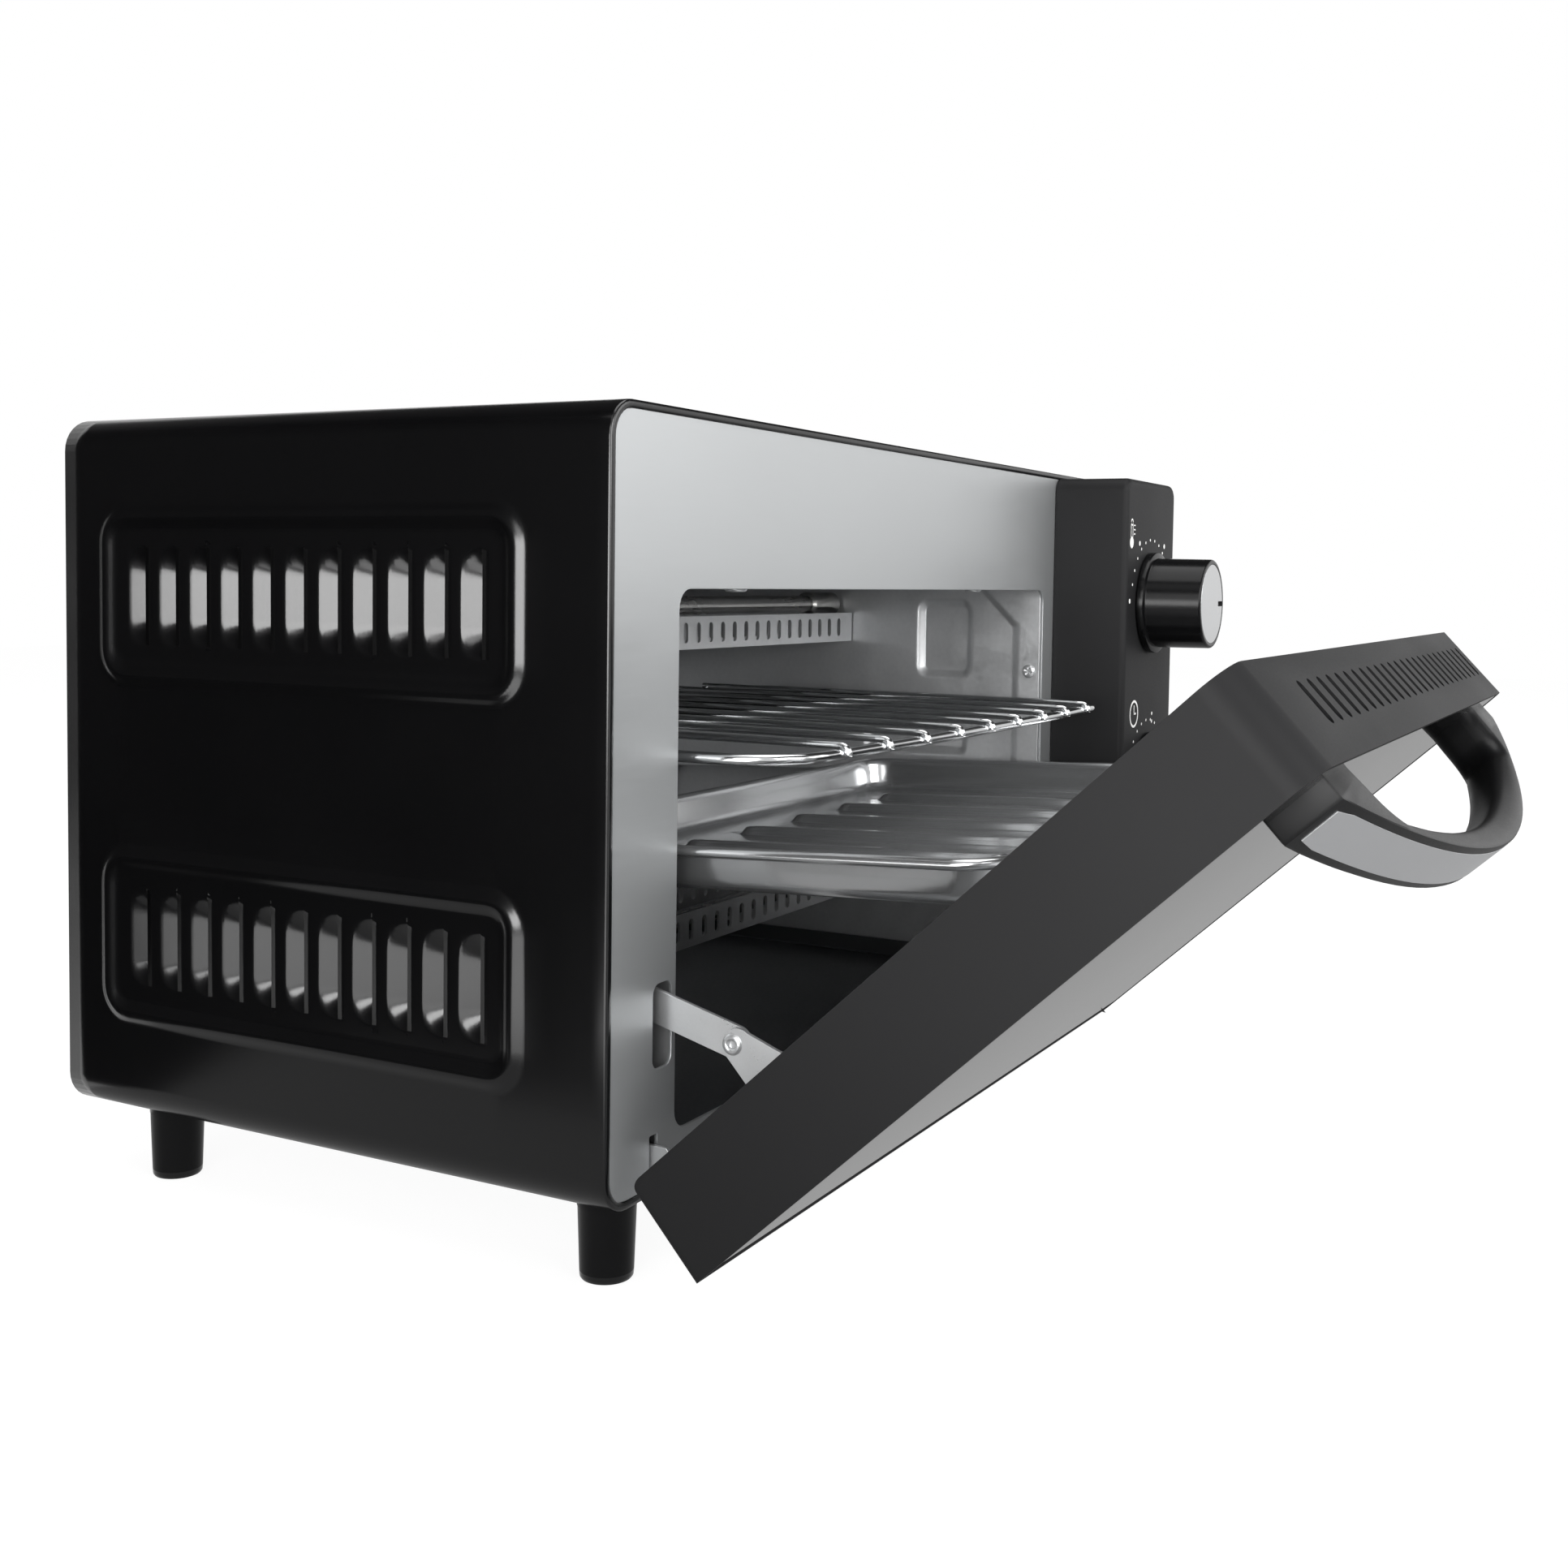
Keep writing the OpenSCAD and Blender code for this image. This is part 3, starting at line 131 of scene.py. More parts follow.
def build(name, shape, material, smooth=40):
    """Turns a finished shape into an object; folds sharper than smooth degrees stay crisp."""
    mesh = bpy.data.meshes.new(name)
    shape.to_mesh(mesh)
    shape.free()
    mesh.materials.clear()
    mesh.materials.append(material)
    mesh.shade_smooth()
    mesh.set_sharp_from_angle(angle=math.radians(smooth))
    thing = bpy.data.objects.new(name, mesh)
    bpy.context.scene.collection.objects.link(thing)
    return thing


def gauged(thing, thickness):
    """Gives a skin its sheet's thickness in millimetres, inwards."""
    gauge = thing.modifiers.new("sheet gauge", "SOLIDIFY")
    gauge.thickness = thickness * MM
    gauge.offset = -1
    return thing


def mount(thing, body, slot, *nodes):
    """The piece rides on a body and stands for its CAD nodes, which are hidden; slot is not used."""
    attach(thing, body)
    if nodes:
        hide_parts(*nodes)
    return thing


def opened_tree(name, **sizes):
    """A node tree with a unit, a finish and named sizes as its inputs, and its input node."""
    tree = bpy.data.node_groups.new(name, "GeometryNodeTree")
    for socket, kind in {"unit": "Geometry", "finish": "Material", **sizes}.items():
        tree.interface.new_socket(socket, in_out="INPUT", socket_type="NodeSocket" + kind)
    tree.interface.new_socket("copies", in_out="OUTPUT", socket_type="NodeSocketGeometry")
    return tree, add(tree, "NodeGroupInput").outputs


def closed_tree(tree, start, copies):
    """Ends a tree: its copies become real, take the finish and go out."""
    plain = add(tree, "GeometryNodeRealizeInstances", {"Geometry": copies})
    coated = add(tree, "GeometryNodeSetMaterial", {
        "Geometry": plain.outputs[0], "Material": start["finish"]})
    add(tree, "NodeGroupOutput", {"copies": coated.outputs[0]})
    return tree


def rows_of_units():
    """Node tree that repeats a unit in columns and rows."""
    tree, start = opened_tree("rows_of_units", columns="Int", column_step="Vector",
                              rows="Int", row_step="Vector")
    copies = start["unit"]
    for way in ("column", "row"):
        line = add(tree, "GeometryNodeMeshLine", {
            "Count": start[way + "s"], "Offset": start[way + "_step"]}, mode="OFFSET")
        copies = add(tree, "GeometryNodeInstanceOnPoints", {
            "Points": line.outputs[0], "Instance": copies}).outputs[0]
    return closed_tree(tree, start, copies)


def repeated(tree, unit, material, **sizes):
    """The shape that a node tree makes of a unit, as a plain shape."""
    thing = build("unit", unit, material)
    modifier = thing.modifiers.new(tree.name, "NODES")
    modifier.node_group = tree
    for socket in tree.interface.items_tree:
        if socket.in_out == "INPUT" and socket.name != "unit":
            modifier[socket.identifier] = sizes.get(socket.name, material)
    made = thing.evaluated_get(bpy.context.evaluated_depsgraph_get())
    mesh = bpy.data.meshes.new_from_object(made)
    bpy.data.objects.remove(thing)
    shape = bmesh.new()
    shape.from_mesh(mesh)
    return merged(shape)


def in_rows(unit, material, columns, column_step, rows=1, row_step=(0, 0, 0)):
    """A unit repeated in columns, and in rows of columns; the steps are in millimetres."""
    return repeated(ROWS, unit, material, columns=columns, column_step=[s * MM for s in column_step],
                    rows=rows, row_step=[s * MM for s in row_step])


ROWS = rows_of_units()


def grid(shape, place, across, along, keep=None, flip=False):
    """Joins a net of points, place(a, b), into the shape."""
    net = [[shape.verts.new(place(a, b)) for b in along] for a in across]
    for i in range(len(across) - 1):
        for j in range(len(along) - 1):
            if keep and not keep(across[i], across[i + 1], along[j], along[j + 1]):
                continue
            corners = [net[i][j], net[i + 1][j], net[i + 1][j + 1], net[i][j + 1]]
            shape.faces.new(corners[::-1] if flip else corners)
    loose = [v for v in shape.verts if not v.link_faces]
    bmesh.ops.delete(shape, geom=loose, context="VERTS")


def joined(*shapes):
    """One shape of several, with the seams between them merged."""
    whole = shapes[0]
    for other in shapes[1:]:
        mesh = bpy.data.meshes.new("part")
        other.to_mesh(mesh)
        other.free()
        whole.from_mesh(mesh)
        bpy.data.meshes.remove(mesh)
    return merged(whole)


def polar(r, turn, a=0, b=0):
    """The point at a radius and a turn about (a, b)."""
    return a + r * math.cos(turn), b + r * math.sin(turn)


def off_rounded(a, b, half_a, half_b, r):
    """Distance of (a, b) from a rounded rectangle about the origin; negative inside."""
    da, db = abs(a) - half_a + r, abs(b) - half_b + r
    return math.hypot(max(da, 0), max(db, 0)) + min(max(da, db), 0) - r


BEAD_W, BEAD_R = 7.5, 11
BEAD_CROWN = 0.72 * BEAD_ROOM  # the pressed crown keeps inside that room
BEAD_HALF_Y, BEAD_HALF_Z = 72.35, 25
VENT_Y = 95
VENT_Z = (50, SHELL_H - 48)
LOUVRES, LOUVRE_PITCH = 11, 11.3
LOUVRE_REACH, LOUVRE_HALF, LOUVRE_ROUND, LOUVRE_DEPTH = 6.9, 13.4, 6.5, 3.4
LIP_START = 0.9  # share of its reach at which a louvre rounds over into the flat side
CUT_Y = VENT_Y - 59
# Lines of one louvre's net, behind its cut edge and above its middle
CELL_Y = [-2.2, -0.02, 0, 0.5, 1.3, 2.3, 3.4, 4.5, 5.5, 6.2, 6.6, 6.9, 9.1]
CELL_Z = [-13.8, -13.4, -12.7, -11.6, -10.2, -8.5, -6.8, -5.4, -2.7, 0,
          2.7, 5.4, 6.8, 8.5, 10.2, 11.6, 12.7, 13.4, 13.8]


def bead_lift(y, z):
    """How far the pressed bead stands out of the side."""
    nearest = min(VENT_Z, key=lambda middle: abs(z - middle))
    half = BEAD_W / 2
    off = abs(off_rounded(y - VENT_Y, z - nearest, BEAD_HALF_Y - half, BEAD_HALF_Z - half, BEAD_R - half))
    return BEAD_CROWN * (1 + math.cos(math.pi * off / half)) / 2 if off < half else 0


def scoop(rear, up):
    """Depth of a louvre at a distance behind its cut edge and above its middle."""
    if rear < 0:
        return 0
    out = math.hypot(rear / LOUVRE_REACH, max(0, abs(up) - LOUVRE_HALF + LOUVRE_ROUND) / LOUVRE_ROUND)
    fall = out - max(0, out - LIP_START) ** 2 / (2 * (1 - LIP_START))
    return LOUVRE_DEPTH * max(0, 1 - fall / ((1 + LIP_START) / 2)) if out < 1 else 0


louvre = bmesh.new()
for hand in (-1, 1):
    grid(louvre,
         lambda z, y: at(hand * (SIDE - scoop(y, z)), CUT_Y + y, VENT_Z[0] + z),
         CELL_Z, CELL_Y, flip=hand > 0,
         keep=lambda z0, z1, y0, y1: y1 != 0 or max(abs(z0), abs(z1)) >= LOUVRE_HALF)
powder_coat = finish("satin black powder coat on steel", "080809", 0.2, 0.5,
                     depth=0.004, spread=0.03, tone=0.12, patch=35)
# Powder coat levels to a soft satin with a faint orange peel, coarse enough here to show
louvres = in_rows(louvre, powder_coat, LOUVRES, (0, LOUVRE_PITCH, 0), 2, (0, 0, VENT_Z[1] - VENT_Z[0]))


def spaced(start, end, count):
    """Evenly spaced numbers, both ends included."""
    return [start + (end - start) * i / count for i in range(count + 1)]


# The skin's rows and columns are close together across each bead and follow the louvres' own
front_bead = spaced(VENT_Y - BEAD_HALF_Y, VENT_Y - BEAD_HALF_Y + BEAD_W, 10)
rear_bead = spaced(VENT_Y + BEAD_HALF_Y - BEAD_W, VENT_Y + BEAD_HALF_Y, 10)
louvre_lines = [CUT_Y + i * LOUVRE_PITCH + y for i in range(LOUVRES) for y in CELL_Y[:-1]]
window = (CUT_Y + CELL_Y[0], CUT_Y + LOUVRES * LOUVRE_PITCH + CELL_Y[0])
depth_lines = ([0.4, 4, 10, 16] + front_bead + [31, 32.4] + louvre_lines + [window[1]]
               + rear_bead + [173, SHELL_D])
half_frame = [-z for z in spaced(BEAD_HALF_Z - BEAD_W, BEAD_HALF_Z, 10)][::-1] + [-16.5, -15.2, CELL_Z[0]]
side_lines = [SHELL_R]
for middle in VENT_Z:
    side_lines += [middle + z for z in half_frame + CELL_Z[1:-1] + [-z for z in half_frame[::-1]]]
    side_lines.append(middle + 35 if middle == VENT_Z[0] else SHELL_H - SHELL_R)


def fold(x, z, start):
    """A quarter turn of the case's corner, centred on (x, z), in degrees from +X."""
    turns = [math.radians(turn) for turn in spaced(start, start - 90, 8)]
    return [(*polar(SHELL_R, t, x, z), t) for t in turns]


RETURN_W = 14  # the case is folded in this far under the base
inner_x, inner_top = SIDE - SHELL_R, SHELL_H - SHELL_R
straight = side_lines[1:-1]
ring = [(-inner_x + RETURN_W, 0, -math.pi / 2)] + fold(-inner_x, SHELL_R, 270)
ring += [(-SIDE, z, math.pi) for z in straight] + fold(-inner_x, inner_top, 180)
ring += [(x, SHELL_H, math.pi / 2) for x in spaced(-inner_x, inner_x, 6)[1:-1]]
ring += fold(inner_x, inner_top, 90) + [(SIDE, z, 0) for z in straight[::-1]]
ring += fold(inner_x, SHELL_R, 0) + [(inner_x - RETURN_W, 0, -math.pi / 2)]
rim = [(RIM_W, 0.3), (RIM_W, -0.3), (RIM_W - 0.15, -0.4), (0.8, -0.4), (0.3, -0.3), (0.07, -0.05)]
edge_lines = rim + [(0, y) for y in depth_lines]


def shell_point(i, j):
    """A point of the case: i runs round its outline and j from the rim to the rear."""
    x, z, turn = ring[int(i)]
    inset, y = edge_lines[int(j)]
    out = bead_lift(y, z) - inset if abs(x) == SIDE else -inset
    return at(x + out * math.cos(turn), y, z + out * math.sin(turn))


def outside_louvres(i0, i1, j0, j1):
    """False where the net would cover the louvres."""
    (x0, z0), (x1, z1) = ring[int(i0)][:2], ring[int(i1)][:2]
    y = (edge_lines[int(j0)][1] + edge_lines[int(j1)][1]) / 2
    middle = (z0 + z1) / 2
    beside = abs(x0) == SIDE and abs(x1) == SIDE and window[0] < y < window[1]
    return not (beside and any(abs(middle - v) < CELL_Z[-1] for v in VENT_Z))


skin = bmesh.new()
grid(skin, shell_point, range(len(ring)), range(len(edge_lines)), keep=outside_louvres)
case = build("case_wrap", joined(skin, louvres), powder_coat, smooth=50)
mount(gauged(case, 0.8), "root", "shell", "outer_shell")

# ---------------------------------------------------------------- softened pressings
# Base pan, cavity back and roof, brackets and other small pressings: plain folded or
# blanked steel, whose cut edges are tumbled so that they catch a fine line of light.


def flattened(shape, degrees=1.0):
    """The shape with its flat stretches made single faces."""
    bmesh.ops.dissolve_limit(shape, angle_limit=math.radians(degrees), verts=shape.verts, edges=shape.edges)
    return shape


def eased(thing, width):
    """Rounds the crisp edges of a piece by width millimetres."""
    bevel = thing.modifiers.new("eased edges", "BEVEL")
    bevel.width = width * MM
    bevel.segments = 2
    bevel.limit_method = "ANGLE"
    bevel.angle_limit = math.radians(40)
    bevel.harden_normals = True
    return thing


def cad_shape(node):
    """A merged copy of a CAD node's mesh."""
    shape = bmesh.new()
    shape.from_mesh(frame["nodes"][node].data)
    return merged(shape, 0.005)


def softened(node, name, material, body, slot, ease=0.25):
    """A copy of a CAD node with its edges eased, standing for that node."""
    thing = build(name, flattened(cad_shape(node), 1.5), material, smooth=25)
    return mount(eased(thing, ease), body, slot, node)


aluminised = finish("aluminised steel sheet", "bfc0c1", 0.4, 1.6, metallic=0.7, depth=0.004,
                    spread=0.08, tone=0.16, patch=10)
# Hot-dip aluminium on steel: a dull silver with soft cloudy spangle, pressed with a faint wave
zinc = finish("zinc-plated steel", "cbcccd", 0.32, 0.35, metallic=0.8, depth=0.002,
              spread=0.06, tone=0.08, patch=9)
# Electroplated zinc: bright and slightly blotchy, with fine rolling marks
softened("base_pan", "base_sheet", zinc, "root", "zinc_steel")
softened("cavity_roof", "cavity_roof_sheet", aluminised, "root", "cavity_steel")
softened("cavity_back", "cavity_back_sheet", aluminised, "root", "cavity_steel")

# ---------------------------------------------------------------- steel front
# The flat front plate: stainless sheet, blanked in one stroke with the oven opening, two
# slots for the stay arms and two for the hinge tabs, and brushed along its width.


def rounded(x0, z0, x1, z1, r, low_r=None, steps=6):
    """Outline of a rounded rectangle; the lower corners may have their own radius."""
    low_r = r if low_r is None else low_r
    spots = []
    corners = ((x1, z0, -1, 1, low_r, 270), (x1, z1, -1, -1, r, 0), (x0, z1, 1, -1, r, 90),
               (x0, z0, 1, 1, low_r, 180))
    for x, z, dx, dz, radius, start in corners:
        for turn in spaced(math.radians(start), math.radians(start + 90), steps):
            spots.append(polar(radius, turn, x + dx * radius, z + dz * radius))
    return spots


def outward(shape):
    """The shape with all its faces turned outwards."""
    bmesh.ops.recalc_face_normals(shape, faces=shape.faces)
    return shape


def plate(loops, place, thickness=0):
    """A sheet cut to its outer loop and holes, placed by place(a, b, depth) and made solid."""
    shape = bmesh.new()
    edges = []
    for loop in loops:
        ends = [shape.verts.new((a, b, 0)) for a, b in loop]
        edges += [shape.edges.new((ends[i - 1], ends[i])) for i in range(len(ends))]
    bmesh.ops.triangle_fill(shape, edges=edges, use_beauty=True)
    if thickness:
        grown = bmesh.ops.extrude_face_region(shape, geom=shape.faces[:])
        for item in grown["geom"]:
            if isinstance(item, bmesh.types.BMVert):
                item.co.z = thickness
    for v in shape.verts:
        v.co = place(*v.co)
    return outward(shape)


def upright(y):
    """Places a plate that faces the front, its face y behind the steel front."""
    return lambda a, b, c: at(a, y + c, b)


OPEN_LEFT, OPEN_RIGHT = -145.8, 104.9
OPEN_LOW, OPEN_TOP = 13, SHELL_H - 43.7
SLOT_Z = (30.4, 51.2)  # the stay arms' slots
TAB_Z = (2.6, 14.6)  # the hinge tabs' slots
front = [rounded(-SIDE + RIM_W, RIM_W, SIDE - RIM_W, SHELL_H - RIM_W, SHELL_R - RIM_W),
         rounded(OPEN_LEFT, OPEN_LOW, OPEN_RIGHT, OPEN_TOP, 5)]
for middle in (OPEN_LEFT - 5.95, OPEN_RIGHT + 5.95):
    front.append(rounded(middle - 4.1, SLOT_Z[0], middle + 4.1, SLOT_Z[1], 2.6))
for middle in (OPEN_LEFT - 9.4, OPEN_RIGHT + 5.7):
    front.append(rounded(middle - 1.7, TAB_Z[0], middle + 1.7, TAB_Z[1], 0.4, steps=2))
brushed = finish("brushed stainless steel", "b0b2b3", 0.38, 0.45, metallic=0.7, depth=0.004,
                 spread=0.05, tone=0.05, stretch=(0.02, 1, 1), patch=90)
# A fine satin whose brush lines run along X and smear reflections up and down
steel_front = eased(build("steel_front", plate(front, upright(0), 1), brushed), 0.3)
mount(steel_front, "root", "front_steel", "front_frame")

# ---------------------------------------------------------------- cavity side walls
# Aluminised steel pressings. Each has a joggled front strip for its screws, a boss pressed
# outwards above, a smaller one below, and carries the rack's and the tray's ledges.


def extent(node):
    """Lowest and highest corner of a CAD node, in the millimetres that at() takes."""
    return [Vector((p.x / MM, (p.y - FACE_LOW.y) / MM, (p.z - SHEET_LOW.z) / MM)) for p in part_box(node)]


WALLS = {"cavity_left_wall": -1, "cavity_right_wall": 1}
ROOF_Z = extent("cavity_roof")[0].z
BOSSES = ((40, 127.3, 11.5, 15, 5), (52, 88, 22, 5, 3))  # middle, half sizes, corner radius
JOGGLE = ((10.5, 0), (10.5, 132.8), (25, ROOF_Z))
JOGGLE_DEPTH, BOSS_DEPTH = 1.3, 2.0
JOGGLE_RAMP, BOSS_RAMP = 2.2, 2.4


def beyond(y, z):
    """How far (y, z) lies behind the bend of the wall's front strip."""
    ramp = (JOGGLE[2][0] - JOGGLE[1][0]) / (JOGGLE[2][1] - JOGGLE[1][1])
    bend = JOGGLE[1][0] + max(0, z - JOGGLE[1][1]) * ramp
    return (y - bend) / (math.hypot(1, ramp) if z > JOGGLE[1][1] else 1)


def pressed(y, z):
    """Depth of the wall's pressings, outwards from the oven."""
    depth = JOGGLE_DEPTH * min(max(beyond(y, z) / JOGGLE_RAMP + 0.5, 0), 1)
    for middle_y, middle_z, half_y, half_z, r in BOSSES:
        off = off_rounded(y - middle_y, z - middle_z, half_y, half_z, r)
        depth += BOSS_DEPTH * min(max(-off / BOSS_RAMP, 0), 1)
    return depth


FINE, COARSE, NEAR, EDGE_ROW = 0.6, 7, 3.4, 0.15


def lines_near(edges, start, end):
    """Numbers from start to end, close together near the given edges."""
    values = [start]
    while values[-1] < end - EDGE_ROW:
        close = any(abs(values[-1] + FINE / 2 - e) < NEAR for e in edges)
        values.append(min(values[-1] + (FINE if close else COARSE), end))
        for e in edges:
            if values[-2] < e - NEAR < values[-1]:
                values[-1] = e - NEAR
    return [start, start + EDGE_ROW] + values[1:-1] + [end - EDGE_ROW, end]


# A narrow row along each cut edge keeps the flat steel's shading flat
wall_y = lines_near((10.5, 17, 22, 30, 50.5, 73), 1, SHELL_D - 2)
wall_z = lines_near((84, 92, 113.5, 134, 141.2, 145), 2, ROOF_Z)
WALL_T = 0.8
for node, hand in WALLS.items():
    inner = extent(node)[hand > 0].x - hand * WALL_T
    shape = bmesh.new()
    grid(shape, lambda y, z: at(inner + hand * pressed(y, z), y, z), wall_y, wall_z, flip=hand < 0)
    sheet = build(node + "_sheet", shape, aluminised, smooth=50)
    mount(gauged(sheet, 0.6), "root", "cavity_steel", node)
    ledges = cad_shape(node)
    cut = (inner - hand * 0.1) * MM
    bmesh.ops.bisect_plane(ledges, geom=ledges.verts[:] + ledges.edges[:] + ledges.faces[:],
                           plane_co=(cut, 0, 0), plane_no=(hand, 0, 0), clear_outer=True)
    for v in ledges.verts:
        if abs(v.co.x - cut) < 0.01 * MM:
            v.co.x += hand * 0.9 * MM
    bmesh.ops.holes_fill(ledges, edges=[e for e in ledges.edges if e.is_boundary])
    rails = build(node + "_ledges", flattened(ledges), aluminised)
    mount(eased(rails, 0.2), "root", "cavity_steel")

# ---------------------------------------------------------------- heaters
# Two sheathed heating elements: bright steel tubes packed with magnesia, each held at both
# ends in a white steatite bush that sits in the cavity wall.


def circle(steps):
    """Even turns of a full circle."""
    return [math.tau * i / steps for i in range(steps)]


def turned(centre, axis, radius, turn, along):
    """A point of a turned shape about a line through centre."""
    a, b = polar(radius, turn)
    return centre + Vector({"X": (along, a, b), "Y": (a, along, b), "Z": (a, b, along)}[axis]) * MM


def skinned(shape, rings):
    """Skins a row of equal rings of points, and returns their corners."""
    nets = [[shape.verts.new(point) for point in ring] for ring in rings]
    for low, high in zip(nets, nets[1:]):
        for i in range(len(low)):
            shape.faces.new((low[i - 1], low[i], high[i], high[i - 1]))
    return nets


def lathe(profile, centre, axis="Y", steps=64, shape=None):
    """A turned shape: profile is (radius, distance along the axis) pairs in millimetres."""
    shape = shape or bmesh.new()
    skinned(shape, [[turned(centre, axis, radius, turn, along) for turn in circle(steps)]
                    for radius, along in profile])
    return outward(merged(shape, 0.002))


tube_steel = finish("heater sheath, stainless tube", "a3a2a0", 0.24, 1.5, metallic=1.0,
                    spread=0.08, tone=0.12, stretch=(0.2, 1, 1), patch=25)
# Drawn tube gone faintly straw-coloured from heat, with soft lengthwise streaks
steatite = finish("steatite ceramic", "e4e0d6", 0.55, 0.6, ior=1.6, depth=0.01, tone=0.05)
# Pressed and fired, left unglazed: cream white, dry and chalky, with hardly a highlight
BUSH = 17  # a tube's collar starts about this far from its end
for node in ("heater_upper", "heater_lower"):
    low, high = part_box(node)
    middle, (reach, _, r) = (low + high) / 2, (high - low) / 2 / MM
    collar = reach - BUSH
    profile = [(0, -reach), (r - 0.6, -reach), (r, 0.6 - reach), (r, -collar - 2),
               (r + 1.3, -collar - 1.4), (r + 1.3, 18 - collar), (r, 18.6 - collar)]
    profile += [(radius, -along) for radius, along in profile[::-1]]
    sheath = build(node + "_sheath", lathe(profile, middle, "X", 40), tube_steel, smooth=50)
    mount(sheath, "root", "heater", node)
softened("heater_insulators", "steatite_bushes", steatite, "root", "ceramic", 0.5)

# ---------------------------------------------------------------- heater guards
# Four flat strips of aluminised steel across the cavity, one in front of and one behind
# each element, punched with a row of upright slots.

GUARD_PITCH, GUARD_SLOT, GUARD_H = 7.9, (2.7, 6.8), 11


def box_of(x0, x1, z0, z1):
    """Outline of a plain rectangle."""
    return [(x0, z0), (x1, z0), (x1, z1), (x0, z1)]


def slot_cell(width, height, slot, place):
    """One cell of a punched sheet: a rectangle with a round-ended slot, still flat."""
    w, h = slot
    return plate([box_of(-width / 2, width / 2, -height / 2, height / 2),
                  rounded(-w / 2, -h / 2, w / 2, h / 2, w / 2 - 0.02, steps=4)], place)


def thickened(shape, thickness):
    """Gives a flat upright shape its thickness, towards the rear."""
    grown = bmesh.ops.extrude_face_region(shape, geom=shape.faces[:])
    bmesh.ops.translate(shape, verts=[v for v in grown["geom"] if isinstance(v, bmesh.types.BMVert)],
                        vec=(0, thickness * MM, 0))
    return flattened(outward(shape))


for node in ("guard_upper_front", "guard_upper_rear", "guard_lower_front", "guard_lower_rear"):
    low, high = extent(node)
    middle = (low + high) / 2
    half = middle.x - low.x
    count = int((2 * half - 2 * GUARD_PITCH) / GUARD_PITCH) + 1
    first = -(count - 1) / 2 * GUARD_PITCH
    spot = lambda a, b, c: at(middle.x + a, low.y + c, middle.z + b)
    cell = slot_cell(GUARD_PITCH, GUARD_H, GUARD_SLOT, lambda a, b, c: spot(a + first, b, c))
    cells = in_rows(cell, aluminised, count, (GUARD_PITCH, 0, 0))
    edge = first - GUARD_PITCH / 2
    ends = [plate([box_of(*sorted((way * edge, -way * half)), -GUARD_H / 2, GUARD_H / 2)], spot)
            for way in (1, -1)]
    guard = build(node + "_strip", thickened(joined(cells, *ends), 0.8), aluminised)
    mount(eased(guard, 0.12), "root", "cavity_steel", node)

# ---------------------------------------------------------------- back panel
# The rear closing sheet: steel in the same powder coat, punched with two rows of upright
# air slots and screwed into the case's edges.

BACK_PITCH, BACK_SLOT, BACK_ROW = 18, (3.2, 26), 32
BUSH_BORE, CRUMB_Z = 5.5, (1.6, 9.6)
open_middle = (OPEN_LEFT + OPEN_RIGHT) / 2
slots_across = int((OPEN_RIGHT - OPEN_LEFT) / BACK_PITCH) - 1
low, high = extent("back_panel")
loops = [rounded(low.x, low.z, high.x, high.z, 8)]
row_left, row_right = [open_middle + s * slots_across * BACK_PITCH / 2 for s in (-1, 1)]
loops += [box_of(row_left, row_right, z - BACK_ROW / 2, z + BACK_ROW / 2) for z in VENT_Z]
bushing = sum(extent("cord_bushing"), Vector()) / 2
loops.append([polar(BUSH_BORE, t, bushing.x, bushing.z) for t in circle(32)])
crumb_low, crumb_high = extent("crumb_tray")
loops.append(box_of(crumb_low.x + 1, crumb_high.x - 1, *CRUMB_Z))
rear_spot = upright(SHELL_D - 1)
cell = slot_cell(BACK_PITCH, BACK_ROW, BACK_SLOT,
                 lambda a, b, c: rear_spot(a + row_left + BACK_PITCH / 2, b + VENT_Z[0], c))
cells = in_rows(cell, powder_coat, slots_across, (BACK_PITCH, 0, 0), 2, (0, 0, VENT_Z[1] - VENT_Z[0]))
rear = build("rear_sheet", thickened(joined(plate(loops, rear_spot), cells), 1), powder_coat)
mount(eased(rear, 0.2), "root", "shell", "back_panel")
rubber = finish("moulded rubber", "1c1c1d", 0.6, 0.8, ior=1.52, depth=0.02)
# Soft black rubber: dull, with a faint bloom
softened("cord_bushing", "cord_bushing_ring", rubber, "root", "rubber", 0.4)
dark_enamel = finish("dark enamelled steel", "3b3c3e", 0.35, 1.2, depth=0.01, tone=0.1)
# Vitreous enamel, fired on: hard and half glossy, gently rippled
softened("crumb_tray", "crumb_pan", dark_enamel, "crumbs", "crumb_steel", 0.3)

# ---------------------------------------------------------------- controls behind the front
# Thermostat, timer with its bell and the terminal block: bought-in parts fixed behind the
# steel front by their threaded noses, and a ceramic block screwed to the base.

phenolic = finish("brown phenolic moulding", "6a655a", 0.45, 1.0, depth=0.01)
# Compression-moulded phenolic: a muddy brown with a dull, slightly waxy face
softened("thermostat_body", "thermostat_case", phenolic, "root", "case_brown", 0.6)
softened("timer_body", "timer_case", zinc, "root", "zinc_steel", 0.6)
softened("timer_bell", "timer_bell_cup", zinc, "root", "bright_steel", 0.6)
softened("terminal_block", "terminal_ceramic", steatite, "root", "ceramic", 0.8)

# ---------------------------------------------------------------- control panel
# The fascia beside the door: an ABS moulding with a spark-eroded satin texture, clipped on
# in front of the steel. Its dial dots and two generic symbols are pad printed.

PANEL_LOW, PANEL_HIGH = extent("control_panel")
PANEL_R, PANEL_EDGE, PANEL_WALL = 5, 2.2, 2


def inset_outline(inset, y):
    """The panel's outline at a depth, drawn in by inset all round."""
    loop = rounded(PANEL_LOW.x + inset, PANEL_LOW.z + inset, PANEL_HIGH.x - inset, PANEL_HIGH.z - inset,
                   PANEL_R - inset * 0.7, steps=8)
    return [at(a, y, b) for a, b in loop]


